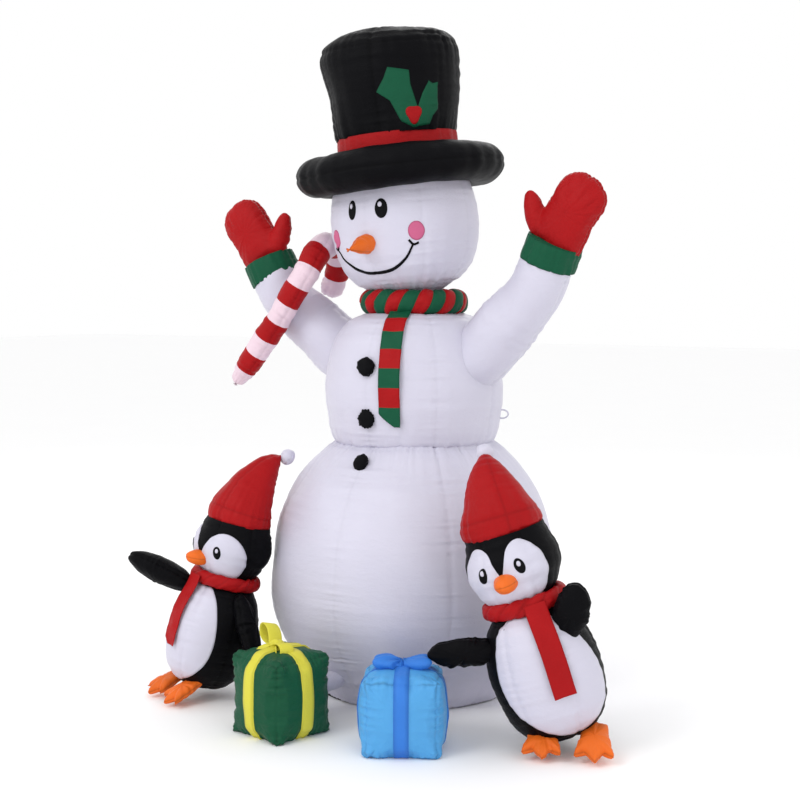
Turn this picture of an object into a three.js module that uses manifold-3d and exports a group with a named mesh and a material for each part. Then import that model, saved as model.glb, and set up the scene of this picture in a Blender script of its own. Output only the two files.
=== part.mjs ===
// Inflatable yard snowman with two penguins and two gift boxes, blown up by one fan.
// Millimetres, +Z up. The origin is the centre of the snowman's base panel, on the ground.
// The snowman faces -Y, so its own left side is +X. Fabric is a stand-in wall WALL thick,
// and every shell is open towards the piece that it shares its air with.
import * as THREE from 'three';
import { mergeVertices } from 'three/addons/utils/BufferGeometryUtils.js';
import Module from 'manifold-3d';

const wasm = await Module();
wasm.setup();

// ---------------------------------------------------------------- driving dimensions
const WALL = 3;                 // stand-in thickness of an inflated fabric wall
const GAP = 0.3;                // clearance between pieces that touch
const LARGE_SIDES = 20;         // facets round a belly, a torso, a head or a hat
const MEDIUM_SIDES = 12;        // facets round an arm, a penguin or a ring
const SMALL_SIDES = 8;          // facets round a duct, a beak or a button

// Outlines are [radius, height above the ground] points, from the lowest to the highest.
const BASE_RADIUS = 355;
const BELLY_OUTLINE = [[360, 3.3], [465, 160], [516, 310], [517, 500], [467, 684], [384, 815], [289, 902]];
const TORSO_OUTLINE = [
  [289, 902.3], [317, 1010], [322, 1125], [290, 1265], [235, 1338], [180, 1364], [128, 1356],
  [98, 1375], [98, 1425],
];
const HEAD_OUTLINE = [
  [96, 1410.5], [106, 1476], [185, 1490], [228, 1526], [256, 1600], [264, 1710], [250, 1808], [232, 1850],
];
const NECK_PIVOT = 1300;        // height of the point that the head and hat lean about
const NECK_SEAM = 1410;         // height of the neck seam, in the leaning head's own frame
const HEAD_LEAN = 5;            // degrees
const HEAD_LEAN_AXIS = new THREE.Vector3(0.515, -0.857, 0);

const BRIM = { radius: 296, halfWidth: 79.5, halfHeight: 70, height: 1876 };
const BAND_OUTLINE = [[215.5, 1884], [216, 1930], [216, 2000]];
const CROWN_OUTLINE = [
  [216, 2000.3], [226, 2090], [249, 2240], [248, 2308], [222, 2355], [130, 2382], [0, 2388],
];

const SCARF = { radius: 153, halfWidth: 39, halfHeight: 39, height: 1406 };
const TAIL = { angle: 16, width: 76, thickness: 4 };
const TAIL_LINE = [
  [199, 1410], [201, 1385], [216, 1364], [246, 1342], [299, 1268], [326, 1180], [331, 1105],
  [327, 1040], [321, 978],
];
const BUTTON_HEIGHTS = [1184, 1003, 845];
const BUTTON = { radius: 35, halfThickness: 24 };
const NOSE = { height: 1626, length: 155, radius: 36, droop: 9 };

// The left arm's centre line. The right arm mirrors it, and hangs lower towards the hand.
const ARM_LINE = [[140, -10, 1155], [280, -20, 1215], [390, -35, 1315], [510, -55, 1435], [566, -66, 1542]];
const ARM_RADII = [118, 114, 108, 99, 93];
const RIGHT_ARM_DROP = 46;
const CUFF_END = [594, -72, 1606];
const CUFF_RADIUS = 96;
const HAND = { direction: [0.5, -0.09, 0.86], thickness: 0.62 };
const HAND_OUTLINE = [[92, 0], [103, 70], [104, 140], [92, 205], [52, 243], [0, 254]];
const THUMB = { centre: [555, -88, 1697], lean: 20, halfSizes: [42, 38, 78] };

// The candy cane stands in front of the right arm, and its hook goes over the arm.
const CANE_LINE = [
  [-648, -222, 1095], [-530, -212, 1245], [-420, -206, 1392], [-352, -186, 1505],
  [-332, -125, 1592], [-338, -40, 1618], [-366, 55, 1580], [-408, 102, 1505], [-448, 116, 1436],
];
const CANE_RADIUS = 46;

const TETHER = { height: 1000, angle: 25, length: 36, reach: 20, width: 14, strap: 3 };

// Each duct carries air from the belly: [start, end] inside the two pieces that it joins.
const DUCT = { radius: 32, height: 110 };
const DUCT_LINES = {
  right_gift_duct: [[-52, -395], [-66, -665]],
  left_gift_duct: [[200, -365], [340, -612]],
  right_penguin_duct: [[-285, -265], [-492, -456]],
  left_penguin_duct: [[385, -10], [775, -335]],
};

const BLOWER = {
  height: 92, outer: 72, inner: 68, back: 346, front: 488, flange: 84, flangeDepth: 12,
  footWidth: 90, footDepth: 20, footHeight: 22,
};
const COLLAR = { inner: 72.3, outer: 77, back: 372, front: 466 };
const MOTOR = { radius: 24, back: 348, front: 398, bore: 3.4 };
const IMPELLER = { hub: 22, back: 402, front: 426, tip: 64, blades: 7, shaft: 3 };
const GRILLE = { depth: 4, bar: 4, rings: [76, 44] };
const ZIP = { face: 527, width: 30, bottom: 330, top: 520, slotWidth: 10 };
const SLIDER = { height: 500, width: 16, length: 20, depth: 6 };

const WHITE = 0xdedaeb;
const BLACK = 0x111114;
const RED = 0xc01a1f;
const GREEN = 0x1a6e45;
const GIFT_GREEN = 0x14603f;
const GIFT_BLUE = 0x5ab0eb;
const RIBBON_YELLOW = 0xe6e146;
const RIBBON_BLUE = 0x3c82dc;
const ORANGE = 0xf07319;
const GREY = 0x2a2a2e;

// ---------------------------------------------------------------- solids
// Merges a geometry's shared corners and drops the slivers that a lathe leaves on its axis.
function weld(geometry) {
  const bare = geometry.clone();
  bare.deleteAttribute('normal');
  bare.deleteAttribute('uv');
  const merged = mergeVertices(bare, 1e-3);
  const corners = merged.index.array;
  const kept = [];
  for (let i = 0; i < corners.length; i += 3) {
    const [a, b, c] = [corners[i], corners[i + 1], corners[i + 2]];
    if (a !== b && b !== c && c !== a) kept.push(a, b, c);
  }
  merged.setIndex(kept);
  merged.computeVertexNormals();
  return merged;
}

function toSolid(geometry) {
  const welded = weld(geometry);
  return new wasm.Manifold(new wasm.Mesh({
    numProp: 3,
    vertProperties: new Float32Array(welded.attributes.position.array),
    triVerts: new Uint32Array(welded.index.array),
  }));
}

function toGeometry(solid) {
  const mesh = solid.getMesh();
  const geometry = new THREE.BufferGeometry();
  geometry.setAttribute('position', new THREE.BufferAttribute(new Float32Array(mesh.vertProperties), 3));
  geometry.setIndex(new THREE.BufferAttribute(new Uint32Array(mesh.triVerts), 1));
  return geometry;
}

function cut(geometry, ...tools) {
  const left = tools.reduce((solid, tool) => solid.subtract(toSolid(tool)), toSolid(geometry));
  return toGeometry(left);
}

function join(first, ...others) {
  const whole = others.reduce((solid, other) => solid.add(toSolid(other)), toSolid(first));
  return toGeometry(whole);
}

function fabric(color) {
  return new THREE.MeshStandardMaterial({ color, roughness: 0.7, metalness: 0 });
}

function plastic(color) {
  return new THREE.MeshStandardMaterial({ color, roughness: 0.45, metalness: 0 });
}

function metal(color) {
  return new THREE.MeshStandardMaterial({ color, roughness: 0.35, metalness: 1 });
}

function piece(name, geometry, material) {
  const mesh = new THREE.Mesh(weld(geometry), material);
  mesh.name = name;
  return mesh;
}

// ---------------------------------------------------------------- shapes
function smooth(points, steps) {
  return new THREE.SplineCurve(points.map(([x, y]) => new THREE.Vector2(x, y))).getPoints(steps);
}

// Moves an outline sideways: outwards for a positive distance.
function offset(outline, distance) {
  return outline.map((point, i) => {
    const before = outline[Math.max(i - 1, 0)];
    const after = outline[Math.min(i + 1, outline.length - 1)];
    const along = after.clone().sub(before).normalize();
    const x = point.x < 1e-6 ? 0 : point.x + along.y * distance;
    return new THREE.Vector2(x, point.y - along.x * distance);
  });
}

function lathe(profile, sides) {
  return new THREE.LatheGeometry(profile, sides).rotateX(Math.PI / 2);
}

// A solid of revolution about Z, closed with flat ends.
function turned(outline, sides) {
  const first = new THREE.Vector2(0, outline[0].y);
  const last = new THREE.Vector2(0, outline[outline.length - 1].y);
  return lathe([first, ...outline, last], sides);
}

// A hollow body of revolution, open wherever its outline ends off the axis.
function shell(outline, sides) {
  const inner = offset(outline, -WALL).reverse();
  const closedTop = outline[outline.length - 1].x < 1e-6;
  const closedBottom = outline[0].x < 1e-6;
  if (closedTop) return lathe([...inner, ...outline], sides);
  if (closedBottom) return lathe([...outline, ...inner], sides);
  return lathe([...outline, ...inner, outline[0].clone()], sides);
}

// Points of an elliptic tube section, from one angle to another, in degrees.
function sectionArc({ radius, halfWidth, halfHeight, height }, inset, from, to, steps) {
  const points = [];
  for (let i = 0; i <= steps; i += 1) {
    const angle = THREE.MathUtils.degToRad(from + ((to - from) * i) / steps);
    const x = radius + (halfWidth - inset) * Math.cos(angle);
    const y = height + (halfHeight - inset) * Math.sin(angle);
    points.push(new THREE.Vector2(x, y));
  }
  return points;
}

// A ring of hollow elliptic section, open along its inner edge.
function hollowRing(ring, sides, steps) {
  const outer = sectionArc(ring, 0, -160, 160, steps);
  const inner = sectionArc(ring, WALL, 155, -155, steps);
  return lathe([...outer, ...inner, outer[0].clone()], sides);
}

// The ring's form with its hollow filled, and with clearance for what touches it.
function filledRing(ring, sides, steps) {
  const section = sectionArc(ring, -GAP, -160, 160, steps);
  return lathe([...section, section[0].clone()], sides);
}

function solidRing(ring, sides, steps) {
  const section = sectionArc(ring, 0, 0, 360, steps).slice(0, steps);
  return lathe([...section, section[0].clone()], sides);
}

function ellipsoid([a, b, c], sides) {
  return new THREE.SphereGeometry(1, sides, Math.round(sides * 0.6)).scale(a, b, c);
}

function box([x0, y0, z0], [x1, y1, z1]) {
  const geometry = new THREE.BoxGeometry(x1 - x0, y1 - y0, z1 - z0);
  return geometry.translate((x0 + x1) / 2, (y0 + y1) / 2, (z0 + z1) / 2);
}

// A cylinder along Y between two distances behind the origin.
function cylinderY(radius, from, to, height, sides) {
  return new THREE.CylinderGeometry(radius, radius, to - from, sides).translate(0, (from + to) / 2, height);
}

// Bends a geometry that stands on the origin along +Z, so that its axis follows a curve.
// `side` is any direction that the curve never runs along.
function bend(geometry, curve, side) {
  const length = curve.getLength();
  const position = geometry.attributes.position;
  const reference = new THREE.Vector3(...side);
  const point = new THREE.Vector3();
  for (let i = 0; i < position.count; i += 1) {
    point.fromBufferAttribute(position, i);
    const fraction = THREE.MathUtils.clamp(point.z / length, 0, 1);
    const tangent = curve.getTangentAt(fraction);
    const across = new THREE.Vector3().crossVectors(reference, tangent).normalize();
    const upright = new THREE.Vector3().crossVectors(tangent, across);
    const bent = curve.getPointAt(fraction);
    bent.addScaledVector(across, point.x);
    bent.addScaledVector(upright, point.y);
    position.setXYZ(i, bent.x, bent.y, bent.z);
  }
  return geometry;
}

function spline(points) {
  return new THREE.CatmullRomCurve3(points.map((point) => new THREE.Vector3(...point)));
}

// The rotation that takes +Z to a direction and keeps +Y as close to +Y as it can.
function aim(direction) {
  const z = new THREE.Vector3(...direction).normalize();
  const x = new THREE.Vector3(0, 1, 0).cross(z).normalize();
  const y = new THREE.Vector3().crossVectors(z, x);
  return new THREE.Matrix4().makeBasis(x, y, z);
}

// A straight cylinder from one point to another.
function rod(radius, start, end, sides) {
  const from = new THREE.Vector3(...start);
  const to = new THREE.Vector3(...end);
  const axis = to.clone().sub(from);
  const geometry = new THREE.CylinderGeometry(radius, radius, axis.length(), sides).rotateX(Math.PI / 2);
  geometry.applyMatrix4(aim(axis.toArray()));
  const middle = from.add(to).multiplyScalar(0.5);
  return geometry.translate(middle.x, middle.y, middle.z);
}

// A strip that hangs along a [radius, height] line in front of a round body.
function hangingStrip(line, { angle, width, thickness }, steps) {
  const centre = smooth(line, steps);
  const front = offset(centre, -thickness / 2);
  const back = offset(centre, thickness / 2).reverse();
  const shape = new THREE.Shape([...front, ...back]);
  const geometry = new THREE.ExtrudeGeometry(shape, { depth: width, bevelEnabled: false, steps: 1 });
  geometry.translate(0, 0, -width / 2).rotateX(Math.PI / 2);
  return geometry.rotateZ(THREE.MathUtils.degToRad(angle - 90));
}

// ---------------------------------------------------------------- the snowman's body
const bellyOutline = smooth(BELLY_OUTLINE, 9);
const torsoOutline = smooth(TORSO_OUTLINE, 11);
const headOutline = smooth(HEAD_OUTLINE, 9);
const bellySolid = turned(offset(bellyOutline, GAP), LARGE_SIDES);
const torsoSolid = turned(offset(torsoOutline, GAP), LARGE_SIDES);

function ductEnds(name) {
  return DUCT_LINES[name].map(([x, y]) => [x, y, DUCT.height]);
}

function ductBore(name) {
  return rod(DUCT.radius - WALL, ...ductEnds(name), SMALL_SIDES);
}

function bellyShell() {
  const collarHole = cylinderY(COLLAR.outer + GAP, 250, 550, BLOWER.height, LARGE_SIDES);
  const ventSlot = box([-ZIP.slotWidth / 2, 450, ZIP.bottom + 15], [ZIP.slotWidth / 2, 550, ZIP.top - 15]);
  const ductHoles = Object.keys(DUCT_LINES).map(ductBore);
  return cut(shell(bellyOutline, LARGE_SIDES), collarHole, ventSlot, ...ductHoles);
}

// Everything above the neck seam, in the leaning head's frame.
function aboveNeckSeam() {
  const block = box([-400, -400, NECK_SEAM - NECK_PIVOT], [400, 400, 300]);
  const lean = new THREE.Matrix4().makeRotationAxis(HEAD_LEAN_AXIS, THREE.MathUtils.degToRad(HEAD_LEAN));
  return block.applyMatrix4(lean).translate(0, 0, NECK_PIVOT);
}

// A point of the left arm, or its place on the right arm: `share` is 0 at the shoulder, 1 at the hand.
function onSide([x, y, z], side, share) {
  const drop = side > 0 ? 0 : RIGHT_ARM_DROP * share * share;
  return [x * side, y, z - drop];
}

function armCurve(side) {
  const last = ARM_LINE.length - 1;
  return spline(ARM_LINE.map((point, i) => onSide(point, side, i / last)));
}

function armTube(side, inset) {
  const curve = armCurve(side);
  const length = curve.getLength();
  const outline = smooth(ARM_RADII.map((radius, i) => [radius - inset, (length * i) / (ARM_RADII.length - 1)]), 5);
  return { outline, curve };
}

function armHole(side) {
  const { outline, curve } = armTube(side, 3 * WALL);
  return bend(turned(outline, MEDIUM_SIDES), curve, [0, 1, 0]);
}

function torsoShell() {
  const hollow = shell(torsoOutline, LARGE_SIDES);
  return cut(hollow, aboveNeckSeam(), armHole(1), armHole(-1));
}

function arm(side) {
  const { outline, curve } = armTube(side, 0);
  return cut(bend(shell(outline, MEDIUM_SIDES), curve, [0, 1, 0]), torsoSolid);
}

// The cuff runs straight on from the end of the arm.
function cuffFrame(side) {
  const start = new THREE.Vector3(...onSide(ARM_LINE[ARM_LINE.length - 1], side, 1));
  const end = new THREE.Vector3(...onSide(CUFF_END, side, 1));
  const direction = armCurve(side).getTangentAt(1);
  return { start, direction, length: end.distanceTo(start) };
}

function cuff(side) {
  const { start, direction, length } = cuffFrame(side);
  const outline = smooth([[93, GAP], [CUFF_RADIUS, length / 2], [93, length]], 2);
  const geometry = shell(outline, MEDIUM_SIDES).applyMatrix4(aim(direction.toArray()));
  return geometry.translate(start.x, start.y, start.z);
}

// A mitten's outer form, or the space inside it when it is inset by the wall.
function mittenForm(side, inset) {
  const palm = turned(offset(smooth(HAND_OUTLINE, 6), -inset), MEDIUM_SIDES);
  const position = palm.attributes.position;
  for (let i = 0; i < position.count; i += 1) {
    const flattening = THREE.MathUtils.smoothstep(position.getZ(i), 0, HAND_OUTLINE[2][1]);
    position.setY(i, position.getY(i) * THREE.MathUtils.lerp(1, HAND.thickness, flattening));
  }
  const { start, direction, length } = cuffFrame(side);
  const wrist = start.clone().addScaledVector(direction, length + GAP);
  const [dx, dy, dz] = HAND.direction;
  palm.applyMatrix4(aim([dx * side, dy, dz])).translate(wrist.x, wrist.y, wrist.z);
  const thumb = ellipsoid(THUMB.halfSizes.map((half) => half - inset), SMALL_SIDES);
  thumb.rotateY(THREE.MathUtils.degToRad(-THUMB.lean * side));
  return join(palm, thumb.translate(...onSide(THUMB.centre, side, 1)));
}

function mitten(side) {
  const { start, direction, length } = cuffFrame(side);
  const seam = start.clone().addScaledVector(direction, length + GAP);
  const below = box([-200, -200, -200], [200, 200, 0]).applyMatrix4(aim(direction.toArray()));
  below.translate(seam.x, seam.y, seam.z);
  const opening = rod(80, start.toArray(), seam.clone().addScaledVector(direction, 30).toArray(), MEDIUM_SIDES);
  return cut(mittenForm(side, 0), mittenForm(side, WALL), below, opening);
}

function candyCane() {
  const curve = spline(CANE_LINE);
  const length = curve.getLength();
  const tip = 115;
  const outline = smooth([[0, 0], [18, 30], [CANE_RADIUS, tip], [CANE_RADIUS, length / 2], [CANE_RADIUS, length]], 14);
  return bend(shell(outline, SMALL_SIDES), curve, [1, 0, 0]);
}

function carrotNose() {
  const { length, radius } = NOSE;
  const outline = smooth([[radius, 0], [radius * 1.1, length * 0.3], [radius * 0.7, length * 0.7], [0, length]], 5);
  const geometry = shell(outline, SMALL_SIDES).rotateX(THREE.MathUtils.degToRad(90 + NOSE.droop));
  return geometry.translate(0, -235, NOSE.height);
}

function button(height) {
  const outline = height > 902 ? torsoOutline : bellyOutline;
  const level = outline.reduce((best, point) => (
    Math.abs(point.y - height) < Math.abs(best.y - height) ? point : best));
  const geometry = ellipsoid([BUTTON.radius, BUTTON.halfThickness, BUTTON.radius], SMALL_SIDES);
  return cut(geometry.translate(0, -level.x, height), height > 902 ? torsoSolid : bellySolid);
}

function tetherLoop(side) {
  const { length, reach, width, strap } = TETHER;
  const loop = cut(
    box([0, -width / 2, -length / 2], [reach, width / 2, length / 2]),
    box([strap, -width, -length / 2 + strap], [reach - strap, width, length / 2 - strap]),
  );
  const level = torsoOutline.find((point) => point.y >= TETHER.height);
  const turn = THREE.MathUtils.degToRad(side > 0 ? TETHER.angle : 180 - TETHER.angle);
  return cut(loop.translate(level.x - 1, 0, TETHER.height).rotateZ(turn), torsoSolid);
}

// ---------------------------------------------------------------- penguins
// Heights run along the penguin's own axis, for a size of 1.
const PENGUIN_BODY = [
  [0, 40], [90, 58], [150, 120], [175, 210], [177, 310], [146, 420], [101, 490], [132, 545],
  [155, 615], [128, 724],
];
const PENGUIN_SCARF = { radius: 121, halfWidth: 17, halfHeight: 26, height: 490 };
const PENGUIN_TAIL_LINE = [[143, 497], [147, 465], [158, 422], [187, 320], [187, 206]];
const PENGUIN_TAIL = { width: 72, thickness: 4 };
const PENGUIN_HAT = { droop: 95, rise: 246 };
const PENGUIN_FOOT = { across: 80, forward: 85, height: 44 };
const BEAK = { height: 575, halfSizes: [37, 62, 31] };

const PENGUINS = [
  {
    name: 'left_penguin', place: [820, -400], heading: 21, lean: 17.7, leanTowards: [-1, 0.05],
    size: 1, hatLength: 1, tailAngle: 19, duct: 'left_penguin_duct',
    flippers: {
      outer: { centre: [5, -98, 462], direction: [0.2, -0.18, 0.96], halfSizes: [58, 36, 92] },
      inner: { centre: [-312, -70, 313], direction: [-0.983, -0.158, -0.07], halfSizes: [50, 30, 118] },
    },
  },
  {
    name: 'right_penguin', place: [-568, -560], heading: -27, lean: 14, leanTowards: [0.35, 0.94],
    size: 0.89, hatLength: 1.2, tailAngle: 7, duct: 'right_penguin_duct',
    flippers: {
      outer: { centre: [-71, -94, 450], direction: [-0.47, -0.76, 0.45], halfSizes: [50, 30, 128] },
      inner: { centre: [186, 110, 276], direction: [0.3, 0.12, -0.94], halfSizes: [30, 48, 118] },
    },
  },
];

function scaled(points, factor) {
  return points.map(([radius, height]) => [radius * factor, height * factor]);
}

function leanMatrix({ lean, leanTowards: [x, y] }) {
  const axis = new THREE.Vector3(-y, x, 0).normalize();
  return new THREE.Matrix4().makeRotationAxis(axis, THREE.MathUtils.degToRad(lean));
}

function penguinOutline({ size }) {
  return smooth(scaled(PENGUIN_BODY, size), 11);
}

// The penguin's outer form in its own leaning frame, with clearance for what touches it.
function penguinSolid(spec) {
  return turned(offset(penguinOutline(spec), GAP), MEDIUM_SIDES);
}

// From the ground frame to the penguin's own leaning frame.
function intoPenguin(geometry, spec) {
  const [x, y] = spec.place;
  const turn = THREE.MathUtils.degToRad(-spec.heading);
  return geometry.translate(-x, -y, 0).rotateZ(turn).applyMatrix4(leanMatrix(spec).invert());
}

// From the penguin's own leaning frame to the ground frame.
function outOfPenguin(geometry, spec) {
  const [x, y] = spec.place;
  const turn = THREE.MathUtils.degToRad(spec.heading);
  return geometry.applyMatrix4(leanMatrix(spec)).rotateZ(turn).translate(x, y, 0);
}

function penguinHat({ size, hatLength }) {
  const bottom = PENGUIN_BODY[PENGUIN_BODY.length - 1][1] * size + GAP;
  const rise = PENGUIN_HAT.rise * size * hatLength;
  const droop = PENGUIN_HAT.droop * size * hatLength;
  const curve = new THREE.CubicBezierCurve3(
    new THREE.Vector3(0, 0, bottom),
    new THREE.Vector3(0, 0, bottom + rise * 0.35),
    new THREE.Vector3(0, droop * 0.3, bottom + rise * 0.7),
    new THREE.Vector3(0, droop, bottom + rise),
  );
  const length = curve.getLength();
  const rim = [[128, 0], [138, 8], [138, 34], [124, 46]];
  const cone = [[88, 0.5 * length], [46, 0.8 * length], [20, 0.95 * length], [0, length]];
  const outline = smooth([...scaled(rim, size), ...cone.map(([radius, height]) => [radius * size, height])], 8);
  return { geometry: bend(shell(outline, MEDIUM_SIDES), curve, [1, 0, 0]), tip: curve.getPoint(1) };
}

function pompom({ x, y, z }, size) {
  const radius = 32 * size;
  return ellipsoid([radius, radius, radius], SMALL_SIDES).translate(x, y + radius, z);
}

function beak(spec) {
  const [a, b, c] = BEAK.halfSizes.map((half) => half * spec.size);
  const geometry = ellipsoid([a, b, c], SMALL_SIDES).translate(0, -140 * spec.size, BEAK.height * spec.size);
  return cut(geometry, penguinSolid(spec));
}

function flipper({ centre, direction, halfSizes }, spec) {
  const geometry = ellipsoid(halfSizes, SMALL_SIDES).applyMatrix4(aim(direction));
  geometry.translate(...centre);
  return cut(geometry, penguinSolid(spec).applyMatrix4(leanMatrix(spec)));
}

// A flat three-toed foot that points along -Y.
function foot(side, spec) {
  const shape = new THREE.Shape();
  shape.moveTo(-34, 70);
  shape.quadraticCurveTo(0, 84, 34, 70);
  shape.lineTo(56, -48);
  shape.lineTo(28, -34);
  shape.lineTo(2, -70);
  shape.lineTo(-28, -34);
  shape.lineTo(-56, -48);
  shape.closePath();
  const options = { depth: PENGUIN_FOOT.height, bevelEnabled: false, curveSegments: 4 };
  const geometry = new THREE.ExtrudeGeometry(shape, options).scale(spec.size, spec.size, spec.size);
  geometry.translate(side * PENGUIN_FOOT.across * spec.size, -PENGUIN_FOOT.forward * spec.size, 0);
  return cut(geometry, penguinSolid(spec).applyMatrix4(leanMatrix(spec)));
}

function penguin(spec) {
  const { name, size } = spec;
  const standing = new THREE.Group();
  standing.position.set(...spec.place, 0);
  standing.rotation.z = THREE.MathUtils.degToRad(spec.heading);
  const leaning = new THREE.Group();
  leaning.quaternion.setFromRotationMatrix(leanMatrix(spec));
  standing.add(leaning);

  const port = intoPenguin(ductBore(spec.duct), spec);
  const hat = penguinHat(spec);
  const ring = Object.fromEntries(Object.entries(PENGUIN_SCARF).map(([key, value]) => [key, value * size]));
  const tail = { ...PENGUIN_TAIL, width: PENGUIN_TAIL.width * size, angle: spec.tailAngle };
  leaning.add(
    piece(`${name}_body`, cut(shell(penguinOutline(spec), MEDIUM_SIDES), port), fabric(BLACK)),
    piece(`${name}_hat`, cut(hat.geometry, pompom(hat.tip, size * 1.01)), fabric(RED)),
    piece(`${name}_pompom`, pompom(hat.tip, size), fabric(WHITE)),
    piece(`${name}_beak`, beak(spec), fabric(ORANGE)),
    piece(`${name}_scarf_ring`, cut(solidRing(ring, MEDIUM_SIDES, 6), penguinSolid(spec)), fabric(RED)),
    piece(`${name}_scarf_tail`, hangingStrip(scaled(PENGUIN_TAIL_LINE, size), tail, 6), fabric(RED)),
  );
  standing.add(
    piece(`${name}_outer_flipper`, flipper(spec.flippers.outer, spec), fabric(BLACK)),
    piece(`${name}_inner_flipper`, flipper(spec.flippers.inner, spec), fabric(BLACK)),
    piece(`${name}_left_foot`, foot(1, spec), fabric(ORANGE)),
    piece(`${name}_right_foot`, foot(-1, spec), fabric(ORANGE)),
  );
  return standing;
}

// ---------------------------------------------------------------- gifts
const GIFTS = [
  {
    name: 'right_gift', place: [-68, -732], heading: -14, size: [226, 226, 258],
    duct: 'right_gift_duct', color: GIFT_GREEN,
  },
  {
    name: 'left_gift', place: [362, -669], heading: 29, size: [226, 226, 238],
    duct: 'left_gift_duct', color: GIFT_BLUE,
  },
];
const GIFT_BULGE = 16;

// A box whose sides bulge, with a flat bottom on the ground.
function giftForm([width, depth, height], inset) {
  const cells = 3;
  const geometry = new THREE.BoxGeometry(2, 2, 2, cells, cells, cells);
  const position = geometry.attributes.position;
  const bulge = (u, v) => GIFT_BULGE * (1 - u * u) * (1 - v * v);
  for (let i = 0; i < position.count; i += 1) {
    const [u, v, w] = [position.getX(i), position.getY(i), position.getZ(i)];
    const x = u * (width / 2 - inset + bulge(v, w));
    const y = v * (depth / 2 - inset + bulge(u, w));
    const top = height - inset + bulge(u, v);
    position.setXYZ(i, x, y, THREE.MathUtils.lerp(inset, top, (w + 1) / 2));
  }
  return geometry;
}

function placed(geometry, { place: [x, y], heading }) {
  return geometry.rotateZ(THREE.MathUtils.degToRad(heading)).translate(x, y, 0);
}

function unplaced(geometry, { place: [x, y], heading }) {
  return geometry.translate(-x, -y, 0).rotateZ(THREE.MathUtils.degToRad(-heading));
}

function giftBox(spec) {
  const port = unplaced(ductBore(spec.duct), spec);
  return cut(giftForm(spec.size, 0), giftForm(spec.size, WALL), port);
}

// Two loops and a knot of stuffed ribbon on the top of the box.
function looseBow(top) {
  const loop = (side) => ellipsoid([44, 22, 20], SMALL_SIDES).rotateY(side * 0.35).translate(side * 38, 0, top + 26);
  const knot = ellipsoid([20, 20, 24], SMALL_SIDES).translate(0, 0, top + 20);
  return join(knot, loop(1), loop(-1));
}

// A wide tuft of ribbon, gathered in the middle.
function tuftedBow(top) {
  const tuft = (turn) => ellipsoid([92, 30, 22], SMALL_SIDES).rotateZ(turn).translate(0, 0, top + 20);
  return join(tuft(0.25), tuft(-0.35), ellipsoid([30, 30, 34], SMALL_SIDES).translate(0, 0, top + 22));
}

function gift(spec, bow, ribbonColor) {
  const group = new THREE.Group();
  group.position.set(...spec.place, 0);
  group.rotation.z = THREE.MathUtils.degToRad(spec.heading);
  const [, , height] = spec.size;
  group.add(
    piece(`${spec.name}_box`, giftBox(spec), fabric(spec.color)),
    piece(`${spec.name}_bow`, cut(bow(height + GIFT_BULGE), giftForm(spec.size, -GAP)), fabric(ribbonColor)),
  );
  return group;
}

// A sleeve of fabric between the belly and a smaller figure.
function duct(name, targetSolid) {
  const sleeve = cut(rod(DUCT.radius, ...ductEnds(name), SMALL_SIDES), ductBore(name));
  return piece(name, cut(sleeve, bellySolid, targetSolid), fabric(WHITE));
}

// ---------------------------------------------------------------- the blower
function spoke(inner, outer, depth, turn, at) {
  const bar = box([inner, at, -GRILLE.bar / 2], [outer, at + depth, GRILLE.bar / 2]);
  return bar.rotateY(turn).translate(0, 0, BLOWER.height);
}

function tubeY(outer, inner, from, to, sides) {
  const hole = cylinderY(inner, from - 1, to + 1, BLOWER.height, sides);
  return cut(cylinderY(outer, from, to, BLOWER.height, sides), hole);
}

function blowerHousing() {
  const { outer, inner, back, front, flange, flangeDepth, footWidth, footDepth, footHeight } = BLOWER;
  const spokes = [0, 1, 2].map((i) => spoke(MOTOR.radius + 2, inner + 1, 10, (i * 2 * Math.PI) / 3 + 0.5, back + 6));
  const foot = box([-footWidth / 2, front - footDepth, 0], [footWidth / 2, front, footHeight]);
  const wind = cylinderY(inner, back - 1, front + 1, BLOWER.height, LARGE_SIDES);
  const casing = cut(join(tubeY(flange, inner, front - flangeDepth, front, LARGE_SIDES), foot), wind);
  const hub = tubeY(MOTOR.radius + 4, MOTOR.radius + GAP, back + 4, back + 34, MEDIUM_SIDES);
  return join(tubeY(outer, inner, back, front, LARGE_SIDES), casing, hub, ...spokes);
}

function blowerGrille() {
  const from = BLOWER.front + GAP;
  const to = from + GRILLE.depth;
  const rings = GRILLE.rings.map((radius) => tubeY(radius + GRILLE.bar, radius, from, to, MEDIUM_SIDES));
  const spokes = [0, 1, 2, 3, 4, 5].map((i) => spoke(12, GRILLE.rings[0] + 1, GRILLE.depth, (i * Math.PI) / 3, from));
  return join(cylinderY(16, from, to, BLOWER.height, MEDIUM_SIDES), ...rings, ...spokes);
}

function blowerImpeller() {
  const { hub, back, front, tip, blades, shaft } = IMPELLER;
  const pieces = [cylinderY(shaft, MOTOR.front - 6, back + 1, BLOWER.height, SMALL_SIDES)];
  for (let i = 0; i < blades; i += 1) {
    const blade = box([hub - 3, -13, -1.5], [tip, 13, 1.5]).rotateX(0.65);
    blade.rotateY((i * 2 * Math.PI) / blades);
    pieces.push(blade.translate(0, (back + front) / 2, BLOWER.height));
  }
  return join(cylinderY(hub, back, front, BLOWER.height, MEDIUM_SIDES), ...pieces);
}

function blowerMotor() {
  const bore = cylinderY(MOTOR.bore, MOTOR.front - 8, MOTOR.front + 1, BLOWER.height, SMALL_SIDES);
  return cut(cylinderY(MOTOR.radius, MOTOR.back, MOTOR.front, BLOWER.height, MEDIUM_SIDES), bore);
}

function blowerCollar() {
  return tubeY(COLLAR.outer, COLLAR.inner, COLLAR.back, COLLAR.front, LARGE_SIDES);
}

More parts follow.
